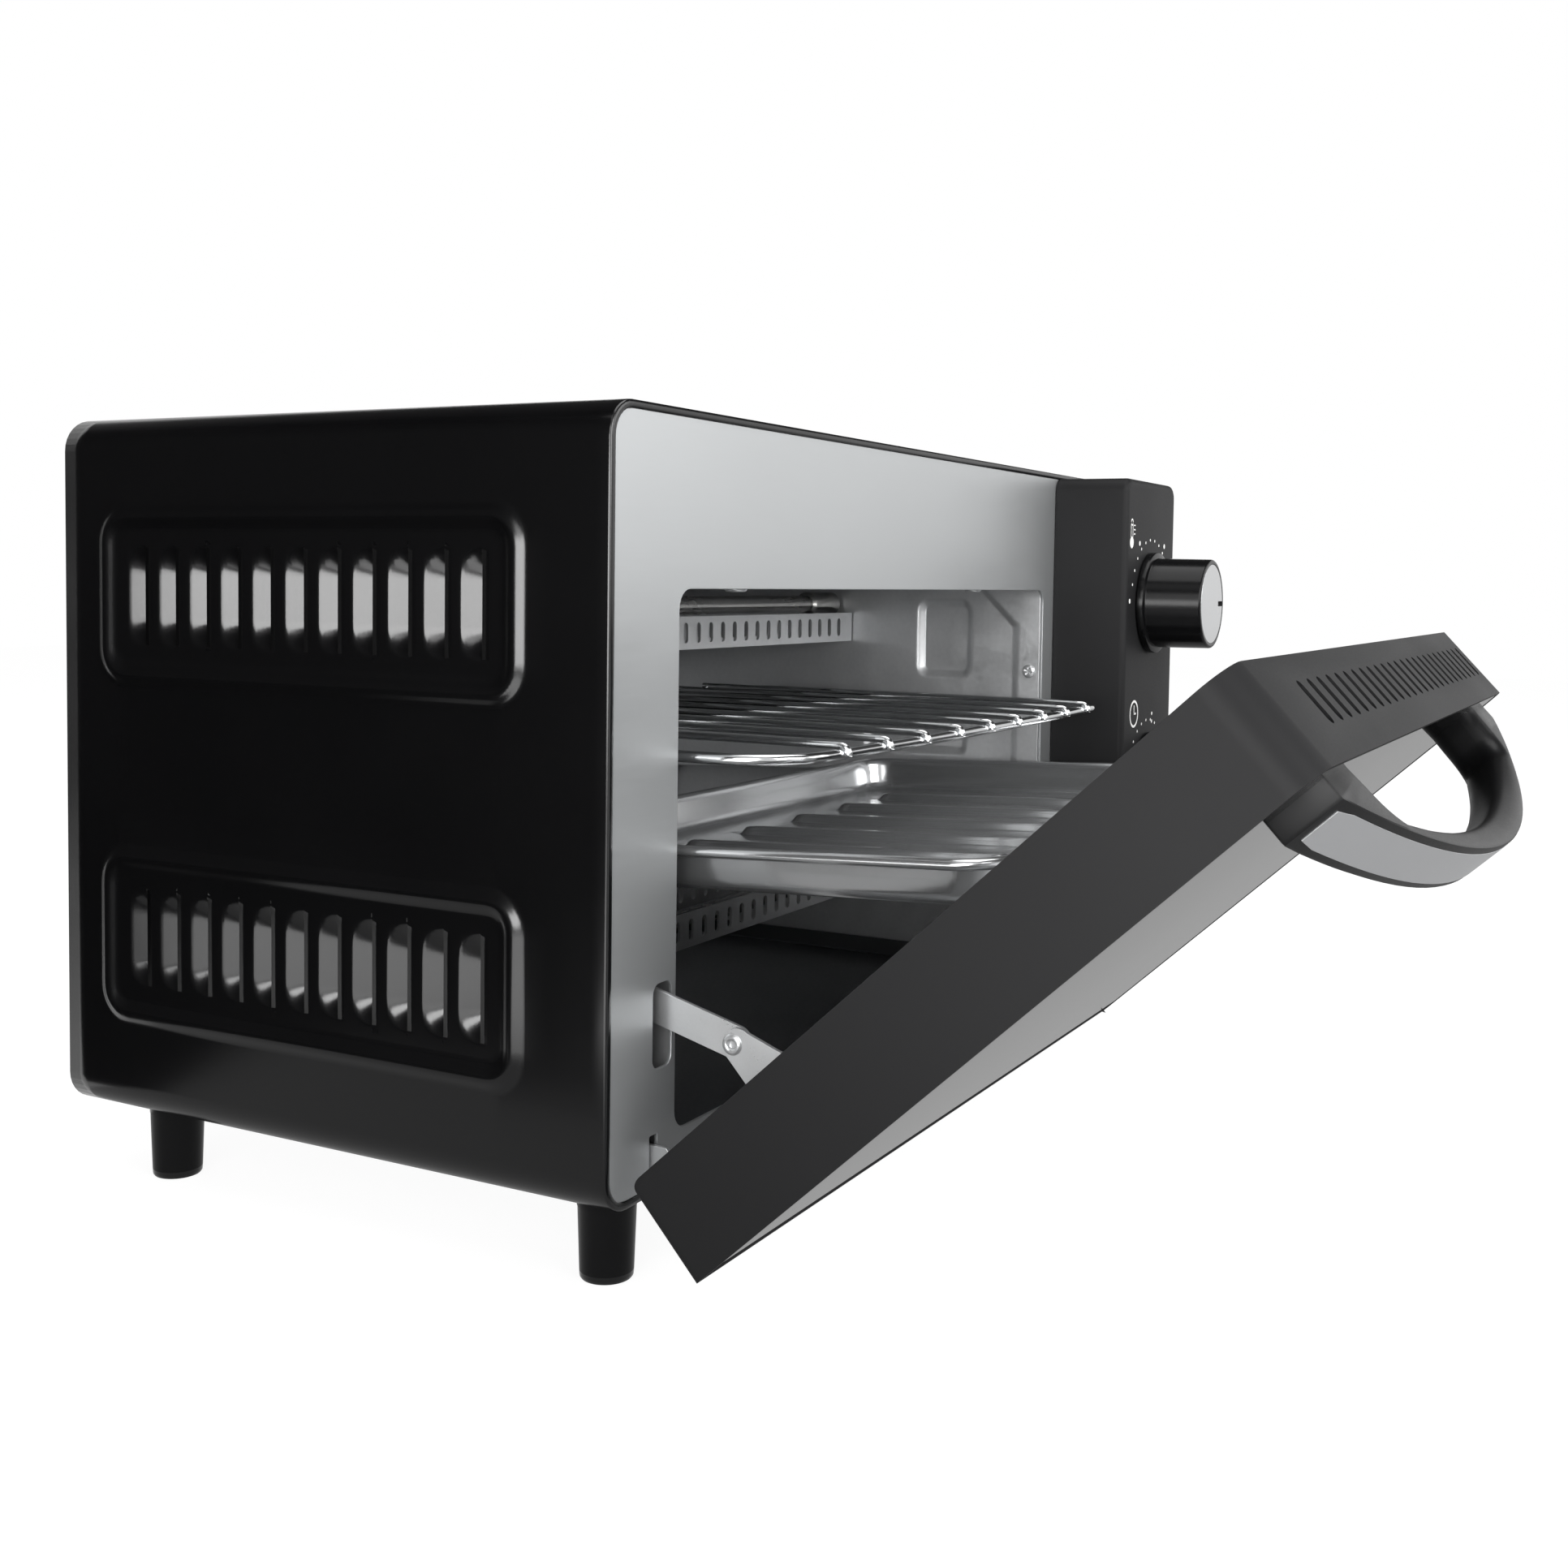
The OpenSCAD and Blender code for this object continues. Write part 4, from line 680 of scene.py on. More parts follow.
def lofted(rings, capped=True, shape=None):
    """Skins a row of equal rings of points, with a face over either end."""
    shape = shape or bmesh.new()
    nets = skinned(shape, rings)
    if capped:
        shape.faces.new(nets[0][::-1])
        shape.faces.new(nets[-1])
    return outward(merged(shape, 0.002))


rings = [inset_outline(PANEL_WALL, PANEL_LOW.y + PANEL_WALL), inset_outline(PANEL_WALL, PANEL_HIGH.y),
         inset_outline(0, PANEL_HIGH.y)]
rings += [inset_outline(PANEL_EDGE * (1 - math.cos(t)), PANEL_LOW.y + PANEL_EDGE * (1 - math.sin(t)))
          for t in spaced(0, math.pi / 2, 6)]
textured_abs = finish("textured ABS moulding", "1b1b1c", 0.55, 0.7, ior=1.54, level=0.14, depth=0.03,
                      spread=0.05, tone=0.06, patch=40)
# ABS from a spark-eroded mould: an even, very fine matt grain with a soft sheen
fascia = build("control_fascia", lofted(rings), textured_abs, smooth=50)
mount(fascia, "root", "panel_plastic", "control_panel")

temp_middle, timer_middle = [sum(extent(name), Vector()) / 2 for name in ("temp_knob", "timer_knob")]
KNOB_X, TEMP_Z, TIMER_Z = temp_middle.x, temp_middle.z, timer_middle.z
INK_LIFT = 0.06


def on_panel(x, z):
    """A point of the print on the panel's face."""
    return at(x, PANEL_LOW.y - INK_LIFT, z)


def disc(x, z, r, shape, hole=0.0, steps=20):
    """A printed dot, or a ring if it has a hole."""
    outer, inner = [[on_panel(*polar(size, t, x, z)) for t in circle(steps)] for size in (r, hole)]
    if hole:
        skinned(shape, [outer, inner])
    else:
        shape.faces.new([shape.verts.new(point) for point in outer])


def stroke(x0, z0, x1, z1, width, shape):
    """A printed straight line."""
    along = Vector((x1 - x0, z1 - z0)).normalized() * width / 2
    corners = [(x0 - along.y, z0 + along.x), (x1 - along.y, z1 + along.x),
               (x1 + along.y, z1 - along.x), (x0 + along.y, z0 - along.x)]
    shape.faces.new([shape.verts.new(on_panel(a, b)) for a, b in corners])


def dial_of_dots():
    """Node tree that sets a dot at even turns along an arc."""
    tree, start = opened_tree("dial_of_dots", count="Int", step="Float", centre="Vector")
    spots = add(tree, "GeometryNodeMeshLine", {
        "Count": start["count"], "Start Location": start["centre"], "Offset": (0, 0, 0)})
    number = add(tree, "GeometryNodeInputIndex")
    angle = add(tree, "ShaderNodeMath", {0: number.outputs[0], 1: start["step"]}, operation="MULTIPLY")
    turn = add(tree, "ShaderNodeCombineXYZ", {"Y": angle.outputs[0]})
    copies = add(tree, "GeometryNodeInstanceOnPoints", {
        "Points": spots.outputs[0], "Instance": start["unit"], "Rotation": turn.outputs[0]})
    return closed_tree(tree, start, copies.outputs[0])


white_ink = finish("white pad-printing ink", "e6e6e4", 0.5, 0.5, tone=0.03)
# Pad printing: a thin, even and matt film of white
DIAL = dial_of_dots()
DOT_RING, DOT_R, DOT_STEP, DOT_FIRST = 24, 0.55, math.radians(13.75), math.radians(163.4)
dials = []
for knob_z, count in ((TEMP_Z, 9), (TIMER_Z, 17)):
    dot = bmesh.new()
    disc(*polar(DOT_RING, DOT_FIRST, KNOB_X, knob_z), DOT_R, dot)
    centre = on_panel(KNOB_X, knob_z)
    bmesh.ops.translate(dot, verts=dot.verts, vec=-centre)
    dials.append(repeated(DIAL, dot, white_ink, count=count, step=DOT_STEP, centre=centre))
marks = bmesh.new()
for degrees, ring in ((178.5, 26), (124, 27), (53, 27.5)):
    disc(*polar(ring, math.radians(degrees), KNOB_X, TEMP_Z), 0.95, marks)
# A thermometer: its bulb, the round end of its tube, two walls and three ticks
icon_x, icon_z = KNOB_X - 25, TEMP_Z + 22.5
disc(icon_x, icon_z, 2.2, marks)
disc(icon_x, icon_z + 7.5, 1.35, marks, 0.8)
for side in (-1, 1):
    stroke(icon_x + side * 1.1, icon_z + 1.6, icon_x + side * 1.1, icon_z + 7.6, 0.5, marks)
for rise in (3.2, 4.8, 6.4):
    stroke(icon_x + 2.2, icon_z + rise, icon_x + 4, icon_z + rise, 0.45, marks)
# A clock face with its two hands, and two dots beside it
clock_x, clock_z = KNOB_X - 17.4, TIMER_Z + 27.2
disc(clock_x, clock_z, 5.2, marks, 4.3, steps=32)
stroke(clock_x, clock_z - 0.3, clock_x, clock_z + 3.2, 0.7, marks)
stroke(clock_x - 0.3, clock_z, clock_x + 2.4, clock_z, 0.7, marks)
for rise in (23, 26):
    disc(KNOB_X + 5.4, TIMER_Z + rise, 0.7, marks)
print_work = build("dial_print", joined(marks, *dials), white_ink)
mount(print_work, "root", "silver_trim")

# ---------------------------------------------------------------- knobs
# Two turned-looking knobs: a gloss black ABS body with a foot flange, moulded with a
# slight draft, and a notched disc of spun aluminium pressed into its front.

gloss_abs = finish("polished black ABS", "0c0c0d", 0.2, 1.5, ior=1.54, level=0.16, spread=0.03,
                   tone=0.1, patch=20)
# ABS from a polished mould: a clear, deep gloss that waves a little over its sinks
spun = finish("spun aluminium, clear lacquered", "c4c5c6", 0.26, 0.4, metallic=1.0, spread=0.04,
              tone=0.04)
# Turned and lacquered: pale and silky, with a soft bright glint
GRIP_R = 16.8
NOTCH_HALF, NOTCH_LEN = 0.9, 6  # the disc's notch, which points at the dots
for control in ("temp", "timer"):
    low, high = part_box(control + "_knob")
    centre = Vector(((low.x + high.x) / 2, low.y, (low.z + high.z) / 2))
    length = (high.y - low.y) / MM
    flange_r = (high.x - low.x) / 2 / MM
    cap_low, cap_high = extent(control + "_cap")
    cap_r = (cap_high.x - cap_low.x) / 2
    profile = [(0, 0.8), (cap_r - 0.02, 0.8), (cap_r, 0.1), (cap_r + 0.25, 0), (GRIP_R - 0.7, 0),
               (GRIP_R - 0.35, 0.12), (GRIP_R - 0.1, 0.4), (GRIP_R, 0.8), (GRIP_R + 0.2, length - 2.9),
               (GRIP_R + 0.3, length - 2.55), (flange_r - 0.5, length - 2.4),
               (flange_r - 0.15, length - 2.25), (flange_r, length - 1.9), (flange_r, length), (0, length)]
    body = build(control + "_knob_body", lathe(profile, centre, "Y", 96), gloss_abs, smooth=35)
    mount(body, control + "_control", "black_gloss", control + "_knob")
    notch_turn = math.asin(NOTCH_HALF / cap_r)
    outline = [polar(cap_r, t) for t in spaced(notch_turn, math.tau - notch_turn, 96)]
    outline += [(cap_r - NOTCH_LEN, -NOTCH_HALF), (cap_r - NOTCH_LEN, NOTCH_HALF)]
    face = plate([outline], lambda a, b, c: centre + Vector((a, c + 0.02, b)) * MM, 0.7)
    cap = eased(build(control + "_knob_disc", face, spun), 0.12)
    mount(cap, control + "_control", "silver_trim", control + "_cap")
    softened(control + "_shaft", control + "_spindle", zinc, control + "_control", "zinc_steel", 0.3)

# ---------------------------------------------------------------- feet
# Four tapered feet in gloss black ABS: turned-looking mouldings with a rounded shoulder and
# a radiused sole, each held by one screw in a recess from below.

SOLE_R, BORE_R = 6.65, 3.5
for node in ("foot_front_left", "foot_front_right", "foot_rear_left", "foot_rear_right"):
    low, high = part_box(node)
    centre = Vector(((low.x + high.x) / 2, (low.y + high.y) / 2, low.z))
    height, top_r = (high.z - low.z) / MM, (high.x - low.x) / 2 / MM
    profile = [(0, height - 6), (BORE_R, height - 6), (BORE_R, 0.3), (BORE_R + 0.3, 0), (SOLE_R - 1.0, 0),
               (SOLE_R - 0.4, 0.15), (SOLE_R - 0.08, 0.6), (SOLE_R, 1.2), (top_r - 0.15, height - 3.2),
               (top_r, height - 2.8), (top_r, height - 0.3), (top_r - 0.3, height), (0, height)]
    foot = build(node + "_moulding", lathe(profile, centre, "Z"), gloss_abs, smooth=35)
    mount(foot, "root", "black_gloss", node)

# ---------------------------------------------------------------- screws
# Pan-head screws with a cross recess, zinc plated: in the feet, inside the cavity's front
# edge and round the back panel. The head is one shape, repeated where a row holds it.

HEAD_R, HEAD_RISE = 3, 1.6


def screw_head(centre, axis, r=HEAD_R, way=1, angle=0.0):
    """A domed head with a cross recess; way is the side that its slot faces."""
    rings = []
    for share, along in ((0.14, -0.55), (0.3, -0.45), (0.45, -0.35), (0.62, -0.1), (0.78, -0.14),
                         (0.92, -0.4), (1, -0.8), (1, -HEAD_RISE)):
        ring = []
        for turn in circle(32):
            spoke = abs(math.cos(2 * turn)) > 0.86 or share > 0.6
            depth = along if spoke else max(along, -0.06 - 0.02 * share * r)
            ring.append(turned(centre, axis, share * r, turn + angle, way * depth))
        rings.append(ring)
    return lofted(rings)


def mounted_screws(name, node, *shapes):
    """A set of screws as one piece, for its CAD node."""
    mount(build(name, joined(*shapes), zinc, smooth=35), "root", "bright_steel", node)


foot_low, foot_high = extent("foot_screws")
first = at(foot_low.x + HEAD_R, foot_low.y + HEAD_R, foot_low.z)
apart = foot_high - foot_low - Vector((2 * HEAD_R, 2 * HEAD_R, 0))
shank = lathe([(0, 1.2), (1.6, 1.2), (1.6, 9)], first, "Z", 24)
mounted_screws("foot_screw_set", "foot_screws", in_rows(
    joined(screw_head(first, "Z", way=-1), shank), zinc, 2, (apart.x, 0, 0), 2, (0, apart.y, 0)))
SCREW_Y = 5
roof_screws = [screw_head(at(x, SCREW_Y, ROOF_Z - HEAD_RISE), "Z", way=-1)
               for x in (OPEN_LEFT + 35, OPEN_RIGHT - 56)]
wall_screws = [screw_head(at(x + way * HEAD_RISE, SCREW_Y, ROOF_Z - 31), "X", 2.5, way, angle=0.4)
               for x, way in ((OPEN_LEFT - 0.4, 1), (OPEN_RIGHT + 0.1, -1))]
mounted_screws("cavity_screw_set", "cavity_screws", *roof_screws, *wall_screws)
back_high = extent("back_screws")[1]
edge_x = back_high.x - HEAD_R
four = in_rows(screw_head(at(-edge_x, back_high.y, SHELL_H / 4), "Y"), zinc,
               2, (2 * edge_x, 0, 0), 2, (0, 0, SHELL_H / 2))
top = screw_head(at(0, back_high.y, back_high.z - HEAD_R), "Y")
mounted_screws("back_screw_set", "back_screws", four, top)

# ---------------------------------------------------------------- hinges and stay arms
# Zinc-plated steel plates: two brackets spot-welded behind the front, a leaf with a lobe
# inside each end of the door, their pins, and two stay arms riveted to the lobes.

for side in ("left", "right"):
    softened("hinge_bracket_" + side, "hinge_tab_" + side, zinc, "root", "zinc_steel", 0.2)
    softened("door_hinge_" + side, "hinge_leaf_" + side, zinc, "door", "zinc_steel", 0.2)
    softened("stay_arm_" + side, "stay_strap_" + side, zinc, "stay_" + side, "zinc_steel", 0.22)
softened("hinge_pins", "hinge_pin_set", zinc, "root", "bright_steel", 0.2)
# Semi-tubular rivets: the outer end is rolled over round an open bore
corners = [v.co for v in frame["nodes"]["stay_rivets"].data.vertices]
rivets = bmesh.new()
for side in (-1, 1):
    ends = [point for point in corners if point.x * side > 0]
    low, high = [Vector(pick(point[i] for point in ends) for i in range(3)) for pick in (min, max)]
    half, r = (high.x - low.x) / 2 / MM, (high.y - low.y) / 2 / MM
    rolled = [(0, 1.1), (1.0, 1.0), (1.05, 0.35), (1.3, 0.08), (1.7, 0), (r - 0.35, 0.14), (r, 0.5),
              (r, 0.7), (r - 0.7, 0.7)]
    profile = [(radius, along - half) for radius, along in rolled]
    profile += [(r - 0.7, half - 0.2), (r, half - 0.2), (r - 0.1, half), (0, half)]
    lathe(profile, (low + high) / 2, "X", 32, rivets)
mount(build("stay_rivet_set", rivets, zinc), "door", "bright_steel", "stay_rivets")

# ---------------------------------------------------------------- door case
# The door's surround: sheet steel folded into a shallow tray with rounded upper corners,
# a row of cooling slots punched along its top, and a satin dark grey coat.

JOINTS = {joint["name"]: joint for joint in frame["joints"]}
HINGE = JOINTS["door_hinge"]
PIVOT = Vector(HINGE["pos_m"])
OPENED = Matrix.Rotation(-math.radians(HINGE["range_deg"][0]), 3, "X")
DOOR_X = (0.5 - SIDE, SIDE - 61.7)
DOOR_Z = (3.8, SHELL_H - 1.8)
DOOR_REAR, DOOR_FRONT = -0.5, -27.0
DOOR_R, DOOR_LOW_R, HEEL_R = 9, 2, 4


def shut(x, y, z):
    """A point of the door, given where it is when shut, moved to where the door rests."""
    return PIVOT + OPENED @ (at(x, y, z) - PIVOT)


def quarters(outline):
    """A rounded outline's corners: lower right, upper right, upper left, lower left."""
    each = len(outline) // 4
    return [outline[i * each : (i + 1) * each] for i in range(4)]


outline = rounded(DOOR_X[0], DOOR_Z[0], DOOR_X[1], DOOR_Z[1], DOOR_R, DOOR_LOW_R, steps=8)
lower_right, upper_right, upper_left, lower_left = quarters(outline)
notches = [OPEN_LEFT - 11.8, OPEN_LEFT - 4.8, OPEN_RIGHT + 2.95, OPEN_RIGHT + 8.2]
heel = [DOOR_Z[0] + h for h in (2.6, 3.3, HEEL_R, 6)]
floor_x = [(x, DOOR_Z[0]) for x in notches]
path = (upper_left + [(DOOR_X[0], z) for z in heel[::-1]] + lower_left + floor_x + lower_right
        + [(DOOR_X[1], z) for z in heel] + upper_right)
NOTCH_Y = DOOR_REAR - 15
LIP = 0.8  # row just behind the front edge, which keeps the sides' shading flat


def door_skin_point(i, y):
    """A point of the wrap; its rear edge is rounded off towards the bottom."""
    x, z = path[int(i)]
    rise = min(z - DOOR_Z[0], HEEL_R)
    rear = DOOR_REAR - HEEL_R + math.sqrt(max(0, HEEL_R ** 2 - (HEEL_R - rise) ** 2))
    return shut(x, min(y, rear), z)


def not_notched(i0, i1, y0, y1):
    """False over the cuts for the hinge leaves."""
    (xa, za), (xb, zb) = path[int(i0)], path[int(i1)]
    low = za == zb == DOOR_Z[0]
    middle = (xa + xb) / 2
    cut = notches[0] < middle < notches[1] or notches[2] < middle < notches[3]
    return not (low and cut and min(y0, y1) > NOTCH_Y - 1)


edge_y = [DOOR_REAR, NOTCH_Y, DOOR_FRONT + LIP, DOOR_FRONT]
skin = bmesh.new()
grid(skin, door_skin_point, range(len(path)), edge_y, keep=not_notched)
SLOTS, SLOT_PITCH, SLOT_SIZE = 25, 9.8, (3.8, 11.6)
SLOT_Y, SLOT_ROW = DOOR_REAR - 12.5, 12.6
cells_left = open_middle - SLOTS * SLOT_PITCH / 2


def door_top(a, b, c):
    """A point of the door's top, seen in plan."""
    return shut(a, b, DOOR_Z[1] + c)


cell = slot_cell(SLOT_PITCH, SLOT_ROW, SLOT_SIZE,
                 lambda a, b, c: door_top(a + cells_left + SLOT_PITCH / 2, b + SLOT_Y, c))
door_coat = finish("dark grey satin powder coat", "19191a", 0.5, 0.5, level=0.16, depth=0.006,
                   spread=0.04, tone=0.06, patch=45)
# A finer, flatter coat than the case's, with a soft broad sheen
cells = in_rows(cell, door_coat, SLOTS, (SLOT_PITCH, 0, 0))
across = [cells_left + i * SLOT_PITCH for i in range(SLOTS + 1)]
hole = [(x, SLOT_Y - SLOT_ROW / 2) for x in across] + [(x, SLOT_Y + SLOT_ROW / 2) for x in across[::-1]]
rim = [(DOOR_X[1] - DOOR_R, y) for y in edge_y[::-1]] + [(DOOR_X[0] + DOOR_R, y) for y in edge_y]
DOOR_T, SEAT_BACK, SEAT_TOP = 1.2, 5.1, 9
seat = plate([box_of(DOOR_X[0] + DOOR_T, DOOR_X[1] - DOOR_T, DOOR_Z[0] + DOOR_T / 2, DOOR_Z[0] + SEAT_TOP)],
             lambda a, b, c: shut(a, DOOR_FRONT + SEAT_BACK, b))
whole = outward(joined(skin, plate([rim, hole], door_top), cells, seat))
wrap = gauged(build("door_wrap", whole, door_coat, smooth=30), DOOR_T)
mount(eased(wrap, 0.3), "door", "door_paint", "door_shell")

# ---------------------------------------------------------------- door panes
# A smoked glass, flush between the case's side and top lips, that ends over a black seat at
# the foot and is printed black behind its border. Inside, a clear heat-resisting pane is
# clamped behind a steel panel.

GLASS_FRONT, GLASS_T, GLASS_FOOT = -26.85, 3.5, 7.5
pane = rounded(DOOR_X[0] + 1.25, DOOR_Z[0] + GLASS_FOOT, DOOR_X[1] - 1.25, DOOR_Z[1] - 1.4, 7.7, 1.2)


def see_through(material):
    """Turns a finish into glass."""
    material.node_tree.nodes["Principled BSDF"].inputs["Transmission Weight"].default_value = 1.0
    return material


smoked = see_through(finish("smoked float glass", "4a4c4e", 0.06, 3.0, ior=1.52, spread=0.02,
                            tone=0.03, patch=120))
# See-through and dark face-on, a sharp mirror at a low angle, with hardly any grain
glass = build("door_pane", plate([pane], lambda a, b, c: shut(a, GLASS_FRONT + c, b), GLASS_T), smoked)
mount(eased(glass, 0.4), "door", "front_glass", "door_front_glass")
BORDER = 24.3  # width of the print beside the oven's opening
window = rounded(OPEN_LEFT + BORDER, DOOR_Z[0] + 49, OPEN_RIGHT - BORDER, DOOR_Z[1] - 25.4, 6)
enamel = finish("black ceramic print on glass", "070708", 0.3, 0.4, spread=0.04, tone=0.1)
# Screen-printed frit, fired into the glass: dead black through the pane, half gloss behind
border = plate([pane, window], lambda a, b, c: shut(a, GLASS_FRONT + GLASS_T + 0.02 + c, b), 0.06)
mount(build("door_pane_print", border, enamel), "door", "black_plastic")
softened("door_inner_panel", "door_liner", zinc, "door", "zinc_steel", 0.2)
clear = see_through(finish("clear borosilicate glass", "f2f6f5", 0.04, 2.0, spread=0.01, tone=0.01))
# Colourless and clean, with a sharp reflection
softened("door_inner_glass", "door_inner_pane", clear, "door", "clear_glass", 0.5)

# ---------------------------------------------------------------- handle
# A bowed ABS bar on two square legs, with its inner side rounded for the fingers and an
# anodised aluminium strip let into its outer face, screwed on through the glass.

HANDLE_HALF, HANDLE_H, LEG_ROOT = 123, 15.7, 97
HANDLE_LOW = DOOR_Z[1] - 5.2 - HANDLE_H
DOOR_MID = sum(DOOR_X) / 2
OUTER_PEAK, OUTER_R = 61.7, 273.7
INNER_PEAK, INNER_R = 53.6, 330
ROUNDING = 5.5


def bow(u, peak, r):
    """How far a bowed curve stands out at u from the middle."""
    return peak - r + math.sqrt(r * r - u * u)


outer = [(HANDLE_HALF, 26), (HANDLE_HALF, 31.6), (HANDLE_HALF - 0.3, 32.4)]
inner = [(LEG_ROOT, 26), (LEG_ROOT - 0.9, 29), (LEG_ROOT - 1.6, 31.5)]
FILLET_R, FILLET_AT = 8.6, (86.2, 33.6)
inner += [polar(FILLET_R, math.radians(degrees), *FILLET_AT) for degrees in range(12, 78, 13)]
outer += [(u, bow(u, OUTER_PEAK, OUTER_R)) for u in (118, 113, 108, 103, 98, 94)]
steps = [84, 80, 74, 67, 60, 53, 46, 39, 32, 25, 18, 12, 6]
inner += [(u, bow(u, INNER_PEAK, INNER_R)) for u in steps]
outer += [(u * 1.06, bow(u * 1.06, OUTER_PEAK, OUTER_R)) for u in steps]
stations = list(zip(inner, outer))
mirrored = [((-a[0], a[1]), (-b[0], b[1])) for a, b in stations[::-1]]
stations += [((0, INNER_PEAK), (0, OUTER_PEAK))] + mirrored


def handle_ring(a, b):
    """The bar's section between its inner and outer curves."""
    (au, av), (bu, bv) = a, b
    span = math.hypot(bu - au, bv - av)
    du, dv = (bu - au) / span, (bv - av) / span
    half = [(span, 0.8), (span - 0.25, 0.25), (span - 0.8, 0)]
    half += [(ROUNDING * (1 - math.sin(t)), ROUNDING * (1 - math.cos(t))) for t in spaced(0, math.pi / 2, 6)]
    section = [(w, HANDLE_H - s) for w, s in half] + half[::-1]
    return [shut(DOOR_MID + au + du * w, -(av + dv * w), HANDLE_LOW + s) for w, s in section]


satin_abs = finish("satin black ABS moulding", "0f0f10", 0.4, 0.6, ior=1.54, level=0.25, depth=0.012,
                   spread=0.05, tone=0.08, patch=30)
# ABS from a lightly blasted mould: an even satin black, softer than the knobs
bar = build("handle_moulding", lofted([handle_ring(a, b) for a, b in stations]), satin_abs, smooth=32)
mount(bar, "door", "black_plastic", "handle_bar")
TRIM_HALF, TRIM_EDGE, TRIM_PROUD, TRIM_LET_IN = 121, 2.2, 0.12, -0.5
rings = []
for u in spaced(TRIM_HALF, -TRIM_HALF, 48):
    lean = math.atan2(u, math.sqrt(OUTER_R ** 2 - u * u))
    low = TRIM_EDGE + (0.9 if abs(u) == TRIM_HALF else 0)  # its ends are cut back at the corners
    high = HANDLE_H - low
    ring = []
    for rise, s in ((TRIM_PROUD, low), (TRIM_PROUD, high), (TRIM_LET_IN, high), (TRIM_LET_IN, low)):
        across, out = u + rise * math.sin(lean), bow(u, OUTER_PEAK, OUTER_R) + rise * math.cos(lean)
        ring.append(shut(DOOR_MID + across, -out, HANDLE_LOW + s))
    rings.append(ring)
anodised = finish("anodised aluminium strip", "c6c7c9", 0.34, 0.3, metallic=0.85, spread=0.04,
                  tone=0.04, stretch=(0.03, 1, 1))
# Bead-blasted and anodised: an even silver with a soft gradient along its bow
trim = build("handle_strip", lofted(rings), anodised)
mount(eased(trim, 0.1), "door", "silver_trim", "handle_trim")
softened("handle_screws", "handle_screw_set", zinc, "door", "bright_steel", 0.2)

# ---------------------------------------------------------------- wire rack
# Chromed steel wire: a rim bent to a rounded rectangle with a slightly bowed front, and nine
# thinner wires welded on top of it, whose front ends turn down over the rim.


def tube(points, radius, closed=False, steps=14, shape=None):
    """A round wire along a row of points."""
    count = len(points)
    rings = []
    for i, point in enumerate(points):
        before = points[i - 1] if closed or i else point
        after = points[(i + 1) % count] if closed or i < count - 1 else point
        way = (after - before).normalized()
        side = way.cross(Vector((0, 0, 1)))
        side = side.normalized() if side.length > 0.05 else Vector((1, 0, 0))
        up = side.cross(way).normalized()
        rings.append([point + (side * math.cos(t) + up * math.sin(t)) * radius * MM for t in circle(steps)])
    return lofted(rings + rings[:1] if closed else rings, capped=not closed, shape=shape)


RACK_LOW, RACK_HIGH = extent("wire_rack")
RIM_R, WIRE_R, WELD = 1.5, 1.0, 0.3  # the wires sink by WELD into the rim
rack_z = RACK_LOW.z + RIM_R
rack_x = (RACK_LOW.x + RIM_R, RACK_HIGH.x - RIM_R)
rack_y = (RACK_LOW.y + RIM_R, RACK_HIGH.y - RIM_R)
rack_mid = sum(rack_x) / 2
RACK_R, FRONT_BOW = 20, 2.2


def rim_front(x):
    """Where the rack's bowed front rail runs."""
    half = rack_x[1] - rack_mid - RACK_R
    return rack_y[0] - 0.6 - FRONT_BOW * (1 - min(1, abs(x - rack_mid) / half) ** 2)


loop = rounded(rack_x[0], rack_y[0], rack_x[1], rack_y[1], RACK_R, steps=10)
lower_right, upper_right, upper_left, lower_left = quarters(loop)
front_rail = [(x, rim_front(x)) for x in spaced(rack_x[0] + RACK_R, rack_x[1] - RACK_R, 14)[1:-1]]
shift = rim_front(rack_x[1] - RACK_R) - rack_y[0]
ease_out = lambda spots: [(x, y + shift * max(0, 1 - (y - rack_y[0]) / RACK_R)) for x, y in spots]
route = ease_out(lower_right) + upper_right + upper_left + ease_out(lower_left) + front_rail
chrome = finish("bright chromed wire", "c2c3c4", 0.14, 1.0, metallic=1.0, spread=0.04, tone=0.05,
                patch=20)
# Nickel and chrome plate on drawn wire: bright, with long sharp glints
wires = tube([at(x, y, rack_z) for x, y in route], RIM_R, closed=True)
RACK_PITCH, RACK_WIRES, NOSE_R = 23, 9, 2.2
wire_z = rack_z + RIM_R + WIRE_R - WELD
outermost = (RACK_WIRES - 1) / 2 * RACK_PITCH
for x in spaced(rack_mid - outermost, rack_mid + outermost, RACK_WIRES - 1):
    nose = rim_front(x) - RIM_R - WIRE_R + WELD
    points = [(rack_y[1] + 0.4, wire_z), (rack_y[1] - 10, wire_z), (0, wire_z), (nose + 4.5, wire_z)]
    points += [(nose + NOSE_R * (1 - math.sin(t)), wire_z - NOSE_R * (1 - math.cos(t)))
               for t in spaced(0, math.pi / 2, 6)[1:]]
    points.append((nose, rack_z - 0.4))
    tube([at(x, y, z) for y, z in points], WIRE_R, steps=12, shape=wires)
mount(build("rack_wires", wires, chrome, smooth=45), "rack", "bright_steel", "wire_rack")

# ---------------------------------------------------------------- baking tray
# Drawn tinplate: a shallow tray with a rolled rim, sloping walls, rounded corners and six
# ribs pressed up in its floor.

_, back, up = JOINTS["tray_slide"]["axis"]
slope = math.atan(-up / back)
TRAY_LOW, TRAY_HIGH = extent("baking_tray")
tray_mid = (TRAY_LOW.x + TRAY_HIGH.x) / 2
TRAY_W, TRAY_LEN, TRAY_R = TRAY_HIGH.x - TRAY_LOW.x, 152, 12
TRAY_REAR_Y, TRAY_REAR_Z = 70, 80


